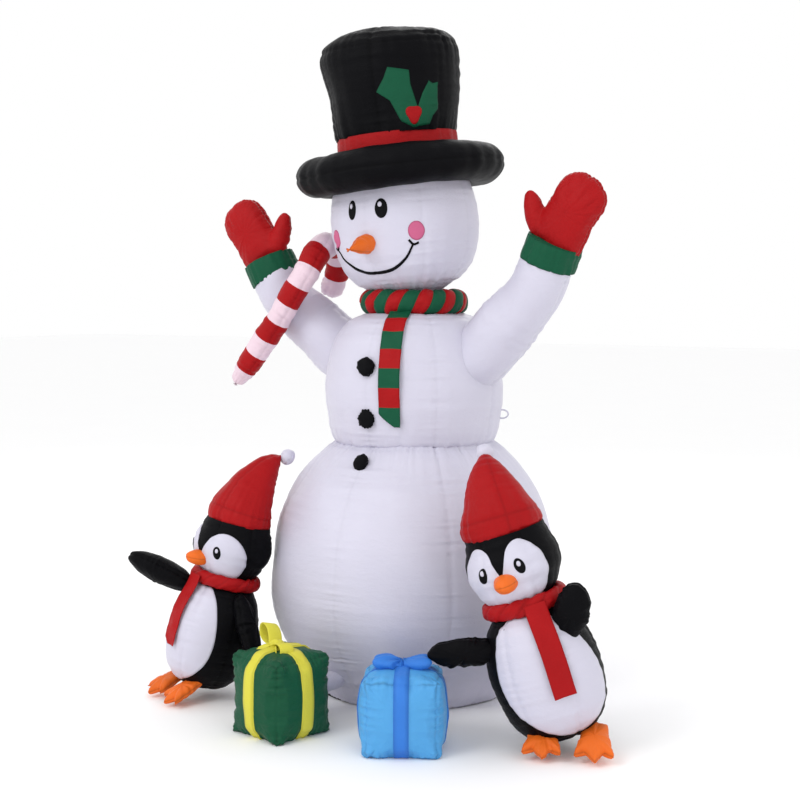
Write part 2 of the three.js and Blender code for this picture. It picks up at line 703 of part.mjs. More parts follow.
function powerInlet() {
  const edge = BLOWER.footWidth / 2 + GAP;
  const body = rod(7, [edge, 0, 0], [edge + 14, 0, 0], SMALL_SIDES);
  const socket = rod(4, [edge + 4, 0, 0], [edge + 15, 0, 0], SMALL_SIDES);
  return cut(body, socket).translate(0, BLOWER.front - BLOWER.footDepth / 2, BLOWER.footHeight / 2);
}

function ledLamp() {
  const base = new THREE.CylinderGeometry(34, 34, 12, MEDIUM_SIDES).rotateX(Math.PI / 2).translate(0, 0, 9 + GAP);
  const dome = ellipsoid([26, 26, 20], SMALL_SIDES).translate(0, 0, 24);
  return join(base, dome);
}

// ---------------------------------------------------------------- the deflation zip
function zipTape() {
  return cut(box([-ZIP.width / 2, 495, ZIP.bottom], [ZIP.width / 2, ZIP.face, ZIP.top]), bellySolid);
}

function zipSlider() {
  const { height, width, length, depth } = SLIDER;
  const front = ZIP.face + GAP + depth;
  const ear = (side) => box([side * 6 - 1.2, front - 1, height - 3], [side * 6 + 1.2, front + 7, height + 6]);
  const body = box([-width / 2, ZIP.face + GAP, height - length / 2], [width / 2, front, height + length / 2]);
  const pinHole = rod(1.3, [-10, front + 4, height + 2], [10, front + 4, height + 2], SMALL_SIDES);
  return cut(join(body, ear(1), ear(-1)), pinHole);
}

function zipPull() {
  const { height, depth } = SLIDER;
  const y = ZIP.face + GAP + depth + 4;
  const plate = box([-4.2, y - 1, height - 32], [4.2, y + 1, height + 4.5]);
  return join(plate, rod(0.9, [-7, y, height + 2], [7, y, height + 2], SMALL_SIDES));
}

// ---------------------------------------------------------------- the whole object
const object = new THREE.Group();

const basePanel = new THREE.CylinderGeometry(BASE_RADIUS, BASE_RADIUS, WALL, LARGE_SIDES);
basePanel.rotateX(Math.PI / 2).translate(0, 0, WALL / 2);
object.add(
  piece('base_panel', basePanel, fabric(GREY)),
  piece('belly_shell', bellyShell(), fabric(WHITE)),
  piece('torso_shell', torsoShell(), fabric(WHITE)),
  piece('candy_cane', candyCane(), fabric(RED)),
  piece('scarf_ring', hollowRing(SCARF, LARGE_SIDES, 7), fabric(RED)),
  piece('scarf_tail', hangingStrip(TAIL_LINE, TAIL, 10), fabric(GREEN)),
);
for (const [side, label] of [[1, 'left'], [-1, 'right']]) {
  object.add(
    piece(`${label}_arm`, arm(side), fabric(WHITE)),
    piece(`${label}_cuff`, cuff(side), fabric(GREEN)),
    piece(`${label}_mitten`, mitten(side), fabric(RED)),
    piece(`${label}_tether_loop`, tetherLoop(side), fabric(WHITE)),
  );
}
BUTTON_HEIGHTS.forEach((height, i) => {
  object.add(piece(`button_${i + 1}`, button(height), fabric(BLACK)));
});

// The head and the hat lean together about the neck.
const head = new THREE.Group();
head.position.z = NECK_PIVOT;
head.quaternion.setFromAxisAngle(HEAD_LEAN_AXIS.clone().normalize(), THREE.MathUtils.degToRad(HEAD_LEAN));
const headSolid = turned(offset(headOutline, GAP), LARGE_SIDES);
const headPieces = [
  piece('head_shell', cut(shell(headOutline, LARGE_SIDES), filledRing(BRIM, LARGE_SIDES, 8)), fabric(WHITE)),
  piece('carrot_nose', cut(carrotNose(), headSolid), fabric(ORANGE)),
  piece('hat_brim', hollowRing(BRIM, LARGE_SIDES, 8), fabric(BLACK)),
  piece('hat_band', shell(smooth(BAND_OUTLINE, 2), LARGE_SIDES), fabric(RED)),
  piece('hat_crown', shell(smooth(CROWN_OUTLINE, 7), LARGE_SIDES), fabric(BLACK)),
];
for (const mesh of headPieces) {
  mesh.position.z = -NECK_PIVOT;
  head.add(mesh);
}
object.add(head);

for (const spec of PENGUINS) {
  object.add(penguin(spec), duct(spec.duct, outOfPenguin(penguinSolid(spec), spec)));
}
const bows = { right_gift: [looseBow, RIBBON_YELLOW], left_gift: [tuftedBow, RIBBON_BLUE] };
for (const spec of GIFTS) {
  object.add(gift(spec, ...bows[spec.name]), duct(spec.duct, placed(giftForm(spec.size, -GAP), spec)));
}

object.add(
  piece('blower_housing', blowerHousing(), plastic(BLACK)),
  piece('blower_grille', blowerGrille(), plastic(BLACK)),
  piece('blower_impeller', blowerImpeller(), plastic(GREY)),
  piece('blower_motor', blowerMotor(), metal(0x9a9a9f)),
  piece('blower_collar', blowerCollar(), fabric(WHITE)),
  piece('power_inlet', powerInlet(), plastic(BLACK)),
  piece('led_lamp', ledLamp(), plastic(WHITE)),
  piece('zip_tape', zipTape(), fabric(WHITE)),
  piece('zip_slider', zipSlider(), metal(0xb8b8bc)),
  piece('zip_pull', zipPull(), metal(0xb8b8bc)),
);

export default object;
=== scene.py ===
"""The looks of an inflatable yard snowman with two penguins and two gifts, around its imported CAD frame.

Everything is in metres: the origin is under the middle of the base, -Y is the front and +Z is up. Angles about
an upright axis are degrees from the front, positive towards +X, which is the figure's own left."""

import math

import bpy
import numpy as np
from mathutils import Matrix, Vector
from mathutils.bvhtree import BVHTree


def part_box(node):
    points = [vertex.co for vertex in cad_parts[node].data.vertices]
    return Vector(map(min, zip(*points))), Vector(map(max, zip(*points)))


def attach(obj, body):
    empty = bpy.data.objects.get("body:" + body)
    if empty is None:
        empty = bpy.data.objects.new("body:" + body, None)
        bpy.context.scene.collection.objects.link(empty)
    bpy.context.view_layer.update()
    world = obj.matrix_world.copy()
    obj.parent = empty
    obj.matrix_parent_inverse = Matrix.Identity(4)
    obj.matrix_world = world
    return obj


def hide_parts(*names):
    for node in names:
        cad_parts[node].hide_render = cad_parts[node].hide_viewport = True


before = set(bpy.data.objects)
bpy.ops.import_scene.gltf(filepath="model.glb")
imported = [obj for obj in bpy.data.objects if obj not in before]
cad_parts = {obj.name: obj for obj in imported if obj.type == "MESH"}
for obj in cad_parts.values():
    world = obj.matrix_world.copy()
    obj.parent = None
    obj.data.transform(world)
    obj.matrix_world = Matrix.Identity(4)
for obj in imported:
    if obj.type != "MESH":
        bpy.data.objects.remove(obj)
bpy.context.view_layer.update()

ROOT = "inflated_figure"
CENTRE = (0, 0, 0)
UPRIGHT = np.eye(4)
FLOOR_GAP = 0.0012
# One degree round a shell and one metre up it, in metres, for outlines of (degrees, height).
ON_HEAD = (0.0045, 1.0)
ON_PENGUIN = (0.0026, 1.0)

# Outlines of the shells, (radius, height). The belly and the torso each turn in under the other at the waist.
BELLY_OUTLINE = [(0.360, 0.003), (0.465, 0.160), (0.516, 0.310), (0.517, 0.500), (0.467, 0.684), (0.384, 0.815),
                 (0.293, 0.900), (0.272, 0.908)]
TORSO_OUTLINE = [(0.270, 0.897), (0.290, 0.905), (0.317, 1.010), (0.322, 1.125), (0.290, 1.265), (0.235, 1.338),
                 (0.180, 1.364), (0.128, 1.376), (0.100, 1.425)]
HEAD_OUTLINE = [(0.098, 1.425), (0.132, 1.453), (0.185, 1.482), (0.228, 1.526), (0.256, 1.600), (0.264, 1.710),
                (0.250, 1.808), (0.236, 1.850)]
CROWN_OUTLINE = [(0.216, 1.996), (0.226, 2.090), (0.248, 2.225), (0.249, 2.275), (0.236, 2.315), (0.195, 2.348),
                 (0.110, 2.372), (0.010, 2.378)]
PENGUIN_OUTLINE = [(0.004, 0.040), (0.090, 0.058), (0.150, 0.120), (0.175, 0.210), (0.177, 0.310),
                   (0.146, 0.420), (0.101, 0.490), (0.132, 0.545), (0.155, 0.615), (0.128, 0.724)]
GORES = 8
PENGUIN_GORES = 6
HEAD_LEAN = 5
HEAD_LEAN_AXIS = (0.515, -0.857, 0)
HEAD_PIVOT = (0, 0, 1.3)

# Colours, linear.
WHITE = (0.600, 0.585, 0.695)
BLACK = (0.0018, 0.0018, 0.0028)
RED = (0.355, 0.0040, 0.0060)
GREEN = (0.0045, 0.080, 0.038)
GIFT_GREEN = (0.0035, 0.074, 0.033)
GIFT_BLUE = (0.080, 0.350, 0.700)
YELLOW = (0.660, 0.610, 0.055)
RIBBON_BLUE = (0.032, 0.190, 0.640)
ORANGE = (0.760, 0.140, 0.010)
PINK = (0.560, 0.115, 0.240)
CANDY_WHITE = (0.760, 0.590, 0.670)
GREY = (0.022, 0.022, 0.026)
ZIP_METAL = (0.62, 0.62, 0.65)


# ---------------------------------------------------------------- points and curves

def even(points, count):
    """count points, equally far apart along a chain of points."""
    points = np.asarray(points, float)
    walked = np.concatenate([[0], np.cumsum(np.linalg.norm(np.diff(points, axis=0), axis=1))])
    at = np.linspace(0, walked[-1], count)
    return np.stack([np.interp(at, walked, column) for column in points.T], axis=1)


def spline(points, count):
    """count points, equally far apart along a smooth curve through a few points."""
    p = np.asarray(points, float)
    p = np.vstack([2 * p[0] - p[1], p, 2 * p[-1] - p[-2]])
    pieces = []
    for a, b, c, d in zip(p, p[1:], p[2:], p[3:]):
        gaps = [math.sqrt(max(np.linalg.norm(s - r), 1e-9)) for r, s in ((a, b), (b, c), (c, d))]
        k = np.cumsum([0] + gaps)
        t = np.linspace(k[1], k[2], 20, endpoint=False)[:, None]
        ab = ((k[1] - t) * a + (t - k[0]) * b) / (k[1] - k[0])
        bc = ((k[2] - t) * b + (t - k[1]) * c) / (k[2] - k[1])
        cd = ((k[3] - t) * c + (t - k[2]) * d) / (k[3] - k[2])
        abc = ((k[2] - t) * ab + (t - k[0]) * bc) / (k[2] - k[0])
        bcd = ((k[3] - t) * bc + (t - k[1]) * cd) / (k[3] - k[1])
        pieces.append(((k[2] - t) * abc + (t - k[1]) * bcd) / (k[2] - k[1]))
    return even(np.vstack(pieces + [p[-2:-1]]), count)


def loop(points, count, unit_size=(1, 1)):
    """count points along a smooth closed curve. unit_size is the length of one unit of each coordinate."""
    p = [tuple(q) for q in np.asarray(points, float) * unit_size]
    several = spline(p + p + p + p[:1], count * 3 + 1)
    return several[count:2 * count] / unit_size


def polygon(points, count, unit_size=(1, 1)):
    """count points along a closed chain of straight edges, with every corner kept."""
    p = np.asarray(list(points) + [points[0]], float) * unit_size
    sides = np.linalg.norm(np.diff(p, axis=0), axis=1)
    steps = np.maximum(1, np.round(sides / sides.sum() * count)).astype(int)
    return np.vstack([np.linspace(a, b, n, endpoint=False) for a, b, n in zip(p, p[1:], steps)]) / unit_size


def unit(vector):
    vector = np.asarray(vector, float)
    return vector / np.linalg.norm(vector, axis=-1, keepdims=True)


def rotation(axis, degrees, pivot=CENTRE):
    """A 4x4 matrix that turns about an axis through pivot."""
    x, y, z = unit(axis)
    k = np.array([[0, -z, y], [z, 0, -x], [-y, x, 0]])
    t = math.radians(degrees)
    m = np.eye(4)
    m[:3, :3] = np.eye(3) + math.sin(t) * k + (1 - math.cos(t)) * k @ k
    m[:3, 3] = np.asarray(pivot) - m[:3, :3] @ np.asarray(pivot)
    return m


def shift(x, y, z, size=1.0):
    m = np.diag([size, size, size, 1.0])
    m[:3, 3] = (x, y, z)
    return m


def moved(matrix, points):
    return points @ matrix[:3, :3].T + matrix[:3, 3]


def ripples(points, seed, shortest, longest, count=12):
    """A smooth random height at each point, about -1 to 1: sine waves in random directions."""
    rng = np.random.default_rng(seed)
    way = unit(rng.normal(size=(count, 3))) * (2 * math.pi / rng.uniform(shortest, longest, (count, 1)))
    phase = rng.uniform(0, 2 * math.pi, count)
    return np.sin(points @ way.T + phase).sum(axis=-1) / math.sqrt(count)


def waves_along(rng, length, shortest, longest, count=7):
    """Random waves along a seam. Their height swells and fades, as gathered cloth does."""
    way = 2 * math.pi / rng.uniform(shortest, longest, count)
    phase = rng.uniform(0, 2 * math.pi, count)
    wave = np.sin(np.outer(length, way) + phase).sum(axis=1) / math.sqrt(count)
    swell = 0.65 + 0.35 * np.sin(length * 2 * math.pi / (longest * 5) + phase[0])
    return wave * swell


def waves_around(rng, angle, radius, shortest, longest, count=9):
    """Random waves round a ring, which meet themselves after one turn."""
    most, least = 2 * math.pi * radius / shortest, 2 * math.pi * radius / longest
    turns = np.round(rng.uniform(least, max(most, least + 1), count))
    phase = rng.uniform(0, 2 * math.pi, count)
    return np.sin(np.outer(angle, turns) + phase).sum(axis=1) / math.sqrt(count)


def sewn(length, angle, radius, seams, gathers, seed, pull=0.004, pucker=0.0018, fade=0.045):
    """What sewing does to a tube of cloth: how far each point stands out, and how near a seam it is (0 to 1).

    length runs along the tube and angle round it. seams are the angles of lengthwise seams, and gathers are the
    lengths at which a seam goes round the tube."""
    rng = np.random.default_rng(seed)
    out = np.zeros((len(length), len(angle)))
    near = np.zeros_like(out)
    for seam in seams:
        turned = np.abs((angle - seam + math.pi) % (2 * math.pi) - math.pi)
        across = radius[:, None] * turned[None, :]
        wave = waves_along(rng, length, 0.016, 0.042)[:, None]
        long_wave = waves_along(rng, length, 0.035, 0.080)[:, None]
        out += pucker * np.exp(-across / fade) * wave
        out += 0.7 * pucker * np.exp(-across / (2.4 * fade)) * long_wave
        out -= pull * np.exp(-(across / 0.008) ** 2) + 0.5 * pull * np.exp(-across / fade)
        near = np.maximum(near, np.exp(-(across / 0.0035) ** 2))
    middle = float(np.mean(radius))
    for gather in gathers:
        away = np.abs(length - gather)[:, None]
        wave = waves_around(rng, angle, middle, 0.018, 0.050)[None, :]
        long_wave = waves_around(rng, angle, middle, 0.045, 0.110)[None, :]
        out += pucker * np.exp(-away / fade) * wave
        out += 0.9 * pucker * np.exp(-away / (2.2 * fade)) * long_wave
        out -= pull * np.exp(-(away / 0.008) ** 2) * np.ones_like(wave)
        near = np.maximum(near, np.exp(-(away / 0.0035) ** 2) * np.ones_like(wave))
    return out, near


# ---------------------------------------------------------------- materials

class Nodes:
    """A short way to write a material's node tree."""

    def __init__(self, name):
        self.material = bpy.data.materials.new(name)
        self.material.use_nodes = True
        self.tree = self.material.node_tree
        self.shader = self.tree.nodes["Principled BSDF"]
        self.place = self.add("ShaderNodeTexCoord").outputs["Object"]

    def add(self, kind, **settings):
        node = self.tree.nodes.new(kind)
        for key, value in settings.items():
            setattr(node, key, value)
        return node

    def put(self, socket, value):
        if isinstance(value, bpy.types.NodeSocket):
            self.tree.links.new(value, socket)
        else:
            socket.default_value = value

    def maths(self, operation, first, second=0.0, clamp=False):
        node = self.add("ShaderNodeMath", operation=operation, use_clamp=clamp)
        self.put(node.inputs[0], first)
        self.put(node.inputs[1], second)
        return node.outputs[0]

    def noise(self, scale, detail=2.0, stretch=(1, 1, 1)):
        mapping = self.add("ShaderNodeMapping")
        mapping.inputs["Scale"].default_value = stretch
        self.put(mapping.inputs["Vector"], self.place)
        node = self.add("ShaderNodeTexNoise")
        node.inputs["Scale"].default_value = scale
        node.inputs["Detail"].default_value = detail
        self.put(node.inputs["Vector"], mapping.outputs[0])
        return node.outputs["Fac"]

    def threads(self, direction, scale):
        node = self.add("ShaderNodeTexWave", wave_type="BANDS", bands_direction=direction)
        node.inputs["Scale"].default_value = scale
        node.inputs["Distortion"].default_value = 0.4
        self.put(node.inputs["Vector"], self.place)
        return node.outputs["Fac"]

    def attribute(self, name):
        return self.add("ShaderNodeAttribute", attribute_type="GEOMETRY", attribute_name=name).outputs["Fac"]

    def mix(self, share, first, second):
        node = self.add("ShaderNodeMix", data_type="RGBA", blend_type="MIX")
        self.put(node.inputs["Factor"], share)
        for key, value in (("A", first), ("B", second)):
            socket = [s for s in node.inputs if s.name == key and s.type == "RGBA"][0]
            self.put(socket, value if isinstance(value, bpy.types.NodeSocket) else (*value, 1.0))
        return [s for s in node.outputs if s.type == "RGBA"][0]

    def bump(self, height, distance, strength=1.0, under=None):
        node = self.add("ShaderNodeBump")
        node.inputs["Distance"].default_value = distance
        node.inputs["Strength"].default_value = strength
        self.put(node.inputs["Height"], height)
        if under is not None:
            self.put(node.inputs["Normal"], under)
        return node.outputs["Normal"]

    def finish(self, colour, roughness, normal):
        self.put(self.shader.inputs["Base Color"], colour)
        self.put(self.shader.inputs["Roughness"], roughness)
        self.put(self.shader.inputs["Normal"], normal)
        return self.material


def taffeta(name, colour, rough=0.5, sheen=0.25, wrinkle=0.0016, glow=0.0, shade=0.86, stitch=0.45, gloss=0.42):
    """Smooth woven polyester: fine crossing threads, soft creases, a silky sheen and darker stitched seams."""
    n = Nodes(name)
    dark = tuple(c * shade for c in colour)
    light = tuple(min(1.0, c * (2.0 - shade) + 0.002) for c in colour)
    stitched = tuple(c * stitch for c in colour)
    broad = n.noise(5.0, 3.0)
    fine = n.noise(38.0, 4.0, (1, 1, 1.8))
    tone = n.mix(broad, dark, light)
    tone = n.mix(n.maths("MULTIPLY", n.attribute("seam"), 0.55, clamp=True), tone, stitched)
    weave = n.maths("MULTIPLY", n.threads("DIAGONAL", 420.0), n.threads("Z", 420.0))
    crease = n.bump(fine, wrinkle)
    crease = n.bump(n.noise(95.0, 3.0, (1, 1, 2.5)), wrinkle * 0.35, 1.0, crease)
    normal = n.bump(weave, 0.00025, 0.5, crease)
    roughness = n.maths("ADD", n.maths("MULTIPLY", fine, 0.22), rough - 0.11)
    n.shader.inputs["Sheen Weight"].default_value = sheen
    n.shader.inputs["Sheen Roughness"].default_value = 0.45
    n.shader.inputs["Specular IOR Level"].default_value = gloss
    if glow:
        n.shader.inputs["Subsurface Weight"].default_value = glow
        n.shader.inputs["Subsurface Radius"].default_value = (0.06, 0.055, 0.06)
        n.shader.inputs["Subsurface Scale"].default_value = 0.5
    return n.finish(tone, roughness, normal)


def moulded(name, colour, rough=0.42, grain=0.0003):
    """Injection-moulded plastic with a fine grain, a little worn and dusty."""
    n = Nodes(name)
    tone = n.mix(n.noise(14.0, 5.0), tuple(c * 0.8 for c in colour), tuple(c * 1.35 + 0.004 for c in colour))
    texture = n.noise(900.0, 2.0)
    roughness = n.maths("ADD", n.maths("MULTIPLY", n.noise(30.0, 4.0), 0.2), rough - 0.1)
    n.shader.inputs["Specular IOR Level"].default_value = 0.5
    return n.finish(tone, roughness, n.bump(texture, grain, 0.6))


def plated(name, colour, rough=0.28):
    """Plated zinc, with small handling marks."""
    n = Nodes(name)
    tone = n.mix(n.noise(60.0, 4.0), tuple(c * 0.85 for c in colour), colour)
    n.shader.inputs["Metallic"].default_value = 1.0
    roughness = n.maths("ADD", n.maths("MULTIPLY", n.noise(220.0, 3.0), 0.25), rough - 0.1)
    return n.finish(tone, roughness, n.bump(n.noise(500.0, 2.0), 0.00015, 0.5))


def coated(name, colour):
    """Coarse coated oxford cloth, as under the base."""
    n = Nodes(name)
    weave = n.maths("MULTIPLY", n.threads("X", 160.0), n.threads("Y", 160.0))
    tone = n.mix(n.maths("MULTIPLY", weave, 0.6), colour, tuple(c * 1.8 + 0.01 for c in colour))
    return n.finish(tone, n.maths("ADD", n.maths("MULTIPLY", n.noise(20.0), 0.2), 0.5), n.bump(weave, 0.0006))


MATERIALS = {
    "white_fabric": taffeta("white_taffeta", WHITE, 0.42, 0.06, 0.0014, 0.10, 0.965, 0.96, 0.5),
    "black_fabric": taffeta("black_taffeta", BLACK, 0.46, 0.0, 0.0018, gloss=0.055),
    "red_fabric": taffeta("red_taffeta", RED, 0.5, 0.0, gloss=0.12, stitch=0.7),
    "green_fabric": taffeta("green_taffeta", GREEN, 0.5, 0.0, gloss=0.12, stitch=0.7),
    "gift_green_fabric": taffeta("gift_green_taffeta", GIFT_GREEN, 0.42, 0.0, 0.0022, gloss=0.16),
    "gift_blue_fabric": taffeta("gift_blue_taffeta", GIFT_BLUE, 0.5, 0.03, 0.0022, 0.05, 0.93, gloss=0.3),
    "yellow_fabric": taffeta("yellow_taffeta", YELLOW, 0.5, 0.03, shade=0.92, gloss=0.25),
    "ribbon_blue_fabric": taffeta("ribbon_blue_taffeta", RIBBON_BLUE, 0.5, 0.02, gloss=0.25),
    "orange_fabric": taffeta("orange_taffeta", ORANGE, 0.5, 0.02, gloss=0.25),
    "striped_fabric": taffeta("candy_white_taffeta", CANDY_WHITE, 0.48, 0.1, 0.0016, 0.1, 0.94, 0.85),
    "base_fabric": coated("coated_oxford", GREY),
    "black_plastic": moulded("black_moulding", (0.012, 0.012, 0.013)),
    "grey_plastic": moulded("grey_moulding", (0.030, 0.030, 0.033), 0.3),
    "lamp_plastic": moulded("frosted_lamp", (0.80, 0.80, 0.78), 0.35),
    "motor_steel": plated("motor_can", (0.45, 0.45, 0.47), 0.34),
    "zip_metal": plated("zip_plating", ZIP_METAL),
}
PINK_CLOTH = taffeta("pink_taffeta", PINK, 0.5, 0.03, gloss=0.25)
APPLIQUE_BLACK = taffeta("applique_black", BLACK, 0.55, 0.0, gloss=0.08)


# ---------------------------------------------------------------- making pieces

def lattice(rows, columns, wrap=True, skew=0, close=False):
    """Quads over a grid of points. On a closed ring the last column may be skew rows ahead of the first."""
    last_row, last_column = rows - (not close), columns - (not wrap)
    row, column = np.meshgrid(np.arange(last_row), np.arange(last_column), indexing="ij")
    after, beside = row + 1, column + 1
    lift = np.where(beside == columns, skew, 0)
    beside = beside % columns

    def number(r, c):
        return (r % rows if close else r) * columns + c

    corners = (row, column), (row + lift, beside), (after + lift, beside), (after, column)
    return np.stack([number(*corner) for corner in corners], axis=-1).reshape(-1, 4)


def show(name, points, faces, slot, near=None, bands=None, materials=None, body=ROOT, stands_for=(),
         declare=True):
    """Makes one visible piece, which rides on a body and takes its finish from a material slot.

    near is how near each point is to a seam, and bands is the number of each face's material."""
    mesh = bpy.data.meshes.new(name)
    mesh.from_pydata(np.asarray(points).tolist(), [], [list(f) for f in faces])
    mesh.shade_smooth()
    for material in materials or [MATERIALS[slot]]:
        mesh.materials.append(material)
    if bands is not None:
        mesh.polygons.foreach_set("material_index", np.asarray(bands, np.int32))
    if near is not None:
        attribute = mesh.attributes.new("seam", "FLOAT", "POINT")
        attribute.data.foreach_set("value", np.asarray(near, np.float32))
    piece = bpy.data.objects.new(name, mesh)
    bpy.context.scene.collection.objects.link(piece)
    if declare:
        register(piece, body, stands_for)
    return piece


def register(piece, body=ROOT, stands_for=()):
    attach(piece, body)
    if stands_for:
        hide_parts(*stands_for)


def normals_of(grid, wrap=True):
    """The outward normals of a grid whose columns run round a tube."""
    along = np.gradient(grid, axis=0)
    if wrap:
        around = np.roll(grid, -1, axis=1) - np.roll(grid, 1, axis=1)
    else:
        around = np.gradient(grid, axis=1)
    normal = np.cross(around, along)
    size = np.linalg.norm(normal, axis=-1, keepdims=True)
    return normal / np.maximum(size, 1e-12)


def capped(grid, faces, near, first, last):
    """A grid's points and faces with its ends closed by a fan round a middle point."""
    rows, columns = grid.shape[:2]
    points = grid.reshape(-1, 3)
    faces = [tuple(f) for f in faces]
    near = near.reshape(-1)
    for wanted, ring in ((first, 0), (last, rows - 1)):
        if not wanted:
            continue
        middle = len(points)
        points = np.vstack([points, grid[ring].mean(axis=0)])
        near = np.append(near, 0.0)
        for c in range(columns):
            pair = (ring * columns + c, ring * columns + (c + 1) % columns)
            faces.append((middle, *(pair[::-1] if ring == 0 else pair)))
    return points, faces, near


def turned(profile, around, flat=1.0):
    """Rings of points about an upright axis, from (radius, height) points. flat scales them along Y."""
    a = np.arange(around) * 2 * math.pi / around
    profile = np.asarray(profile, float)
    radius, height = profile[:, 0, None], profile[:, 1, None]
    return np.stack([radius * np.cos(a), flat * radius * np.sin(a), height * np.ones_like(a)], axis=-1)


def closed_form(grid):
    """A grid whose rows are rings, closed at both ends: (points, faces)."""
    points, faces, _ = capped(grid, lattice(*grid.shape[:2]), np.zeros(grid.shape[:2]), True, True)
    return points, faces


# The surfaces that other cloth lies on: blown-up pieces as they came out, and gored shells as grids.
SKINS = {}
SHELLS = {}


def skin_of(name, points, faces):
    """Keeps a shell's surface, for cloth that is sewn onto it."""
    SKINS[name] = BVHTree.FromPolygons(np.asarray(points).tolist(), [list(f) for f in faces])


def gored(node, outline, matrix, slot, seed, gores=GORES, first_seam=0.0, rings=(), ends=(True, True),
          row=0.006, column=0.010, pull=0.004, pucker=0.0018, sag=0.0025, caps=(False, False)):
    """A shell of revolution sewn from gores: an outline about an upright axis, with seams that pull in.

    rings are the heights of seams that go round it. row and column are the size of its faces."""
    length = np.linalg.norm(np.diff(np.asarray(outline), axis=0), axis=1).sum()
    profile = spline(outline, int(length / row))
    widest = profile[:, 0].max()
    columns = gores * max(4, round(2 * math.pi * widest / gores / column))
    angle = np.arange(columns) * 2 * math.pi / columns + math.radians(first_seam)
    step = np.linalg.norm(np.diff(profile, axis=0), axis=1)
    walked = np.concatenate([[0], np.cumsum(step)])
    seams = math.radians(first_seam) + np.arange(gores) * 2 * math.pi / gores
    gathers = [walked[np.argmin(np.abs(profile[:, 1] - z))] for z in rings]
    gathers += [walked[k] for k, wanted in ((0, ends[0]), (-1, ends[1])) if wanted]
    out, near = sewn(walked, angle, profile[:, 0], seams, gathers, seed, pull, pucker)
    grid = np.stack([profile[:, 0, None] * np.sin(angle), -profile[:, 0, None] * np.cos(angle),
                     profile[:, 1, None] * np.ones_like(angle)], axis=-1)
    out += sag * ripples(grid, seed + 1, 0.16, 0.42)
    shrink = np.clip(profile[:, 0] / 0.06, 0, 1)[:, None]
    grid = moved(matrix, grid + normals_of(grid) * (out * shrink)[..., None])
    grid[..., 2] = np.maximum(grid[..., 2], FLOOR_GAP)
    faces = lattice(len(profile), columns)
    points, faces, near = capped(grid, faces, near * shrink, *caps)
    heights = np.maximum.accumulate(profile[:, 1])
    SHELLS[node] = heights, first_seam, grid, normals_of(grid)
    return show(node + "_skin", points, faces, slot, near, stands_for=(node,))


def tube(name, path, radii, slot, seed, columns=64, up=(0, 0, 1), seams=(0, math.pi), ends=(True, True),
         pull=0.003, pucker=0.0016, sag=0.0015, caps=(False, False), paint=None, materials=None, stands_for=(),
         matrix=UPRIGHT, rings=()):
    """A tube of cloth along a path. rings are the lengths of further seams round it.

    paint gives the number of the material at each share of the length."""
    path = np.asarray(path, float)
    radii = np.interp(np.linspace(0, 1, len(path)), np.linspace(0, 1, len(radii)), radii)
    forward = unit(np.gradient(path, axis=0))
    side = unit(np.cross(forward, np.asarray(up, float)))
    above = np.cross(side, forward)
    angle = np.arange(columns) * 2 * math.pi / columns
    walked = np.concatenate([[0], np.cumsum(np.linalg.norm(np.diff(path, axis=0), axis=1))])
    gathers = list(rings) + [walked[k] for k, wanted in ((0, ends[0]), (-1, ends[1])) if wanted]
    out, near = sewn(walked, angle, radii, seams, gathers, seed, pull, pucker)
    across = np.cos(angle)[:, None] * above[:, None] + np.sin(angle)[:, None] * side[:, None]
    grid = path[:, None] + radii[:, None, None] * across
    out += sag * ripples(grid, seed + 1, 0.10, 0.30)
    grid = moved(matrix, grid + across * out[..., None])
    faces = lattice(len(path), columns)
    bands = None
    if paint is not None:
        share = (walked[:-1] + walked[1:]) / 2 / walked[-1]
        bands = np.repeat([paint(s) for s in share], columns)
    points, faces, near = capped(grid, faces, near, *caps)
    if bands is not None:
        extra = len(faces) - len(bands)
        bands = np.concatenate([bands, np.full(extra, bands[-1])])
    return show(name, points, faces, slot, near, bands, materials, stands_for=stands_for)


def on_shell(shell, outline, lift):
    """Points of a gored shell at (degrees, height) in the shell's own frame, lifted off its cloth."""
    heights, first_seam, grid, normals = SHELLS[shell]
    rows, columns = grid.shape[:2]
    outline = np.asarray(outline, float)
    row = np.clip(np.interp(outline[..., 1], heights, np.arange(rows)), 0, rows - 1.001)
    column = (np.radians(outline[..., 0] - first_seam) / (2 * math.pi) * columns) % columns
    r, c = row.astype(int), column.astype(int) % columns
    up, on = (row - r)[..., None], (column - np.floor(column))[..., None]
    total = 0
    for above in (0, 1):
        for beside in (0, 1):
            share = (up if above else 1 - up) * (on if beside else 1 - on)
            at = r + above, (c + beside) % columns
            total = total + share * (grid[at] + normals[at] * np.asarray(lift)[..., None])
    return total


def patch(name, shell, outline, slot, lift=0.0016, rings=8, material=None):
    """A piece of cloth sewn flat onto a shell. outline is a closed list of (degrees, height)."""
    outline = np.asarray(outline, float)
    ahead = np.roll(outline, -1, axis=0)
    if (outline[:, 0] * ahead[:, 1] - ahead[:, 0] * outline[:, 1]).sum() < 0:
        outline = outline[::-1]
    middle = outline.mean(axis=0)
    share = np.append(np.linspace(0, 1, rings + 1)[1:], 1.0)[:, None, None]
    lifts = np.full((rings + 1, len(outline)), lift)
    lifts[-2], lifts[-1] = lift * 0.8, -0.0006
    grid = on_shell(shell, middle + (outline - middle) * share, lifts)
    near = np.zeros(grid.shape[:2])
    near[-2] = 0.8
    points = np.vstack([grid.reshape(-1, 3), on_shell(shell, middle, lift)])
    count = len(outline)
    faces = [tuple(f) for f in lattice(len(grid), count)[:, ::-1]]
    faces += [(len(points) - 1, c, (c + 1) % count) for c in range(count)]
    return show(name, points, faces, slot, np.append(near.reshape(-1), 0),
                materials=[material] if material else None)


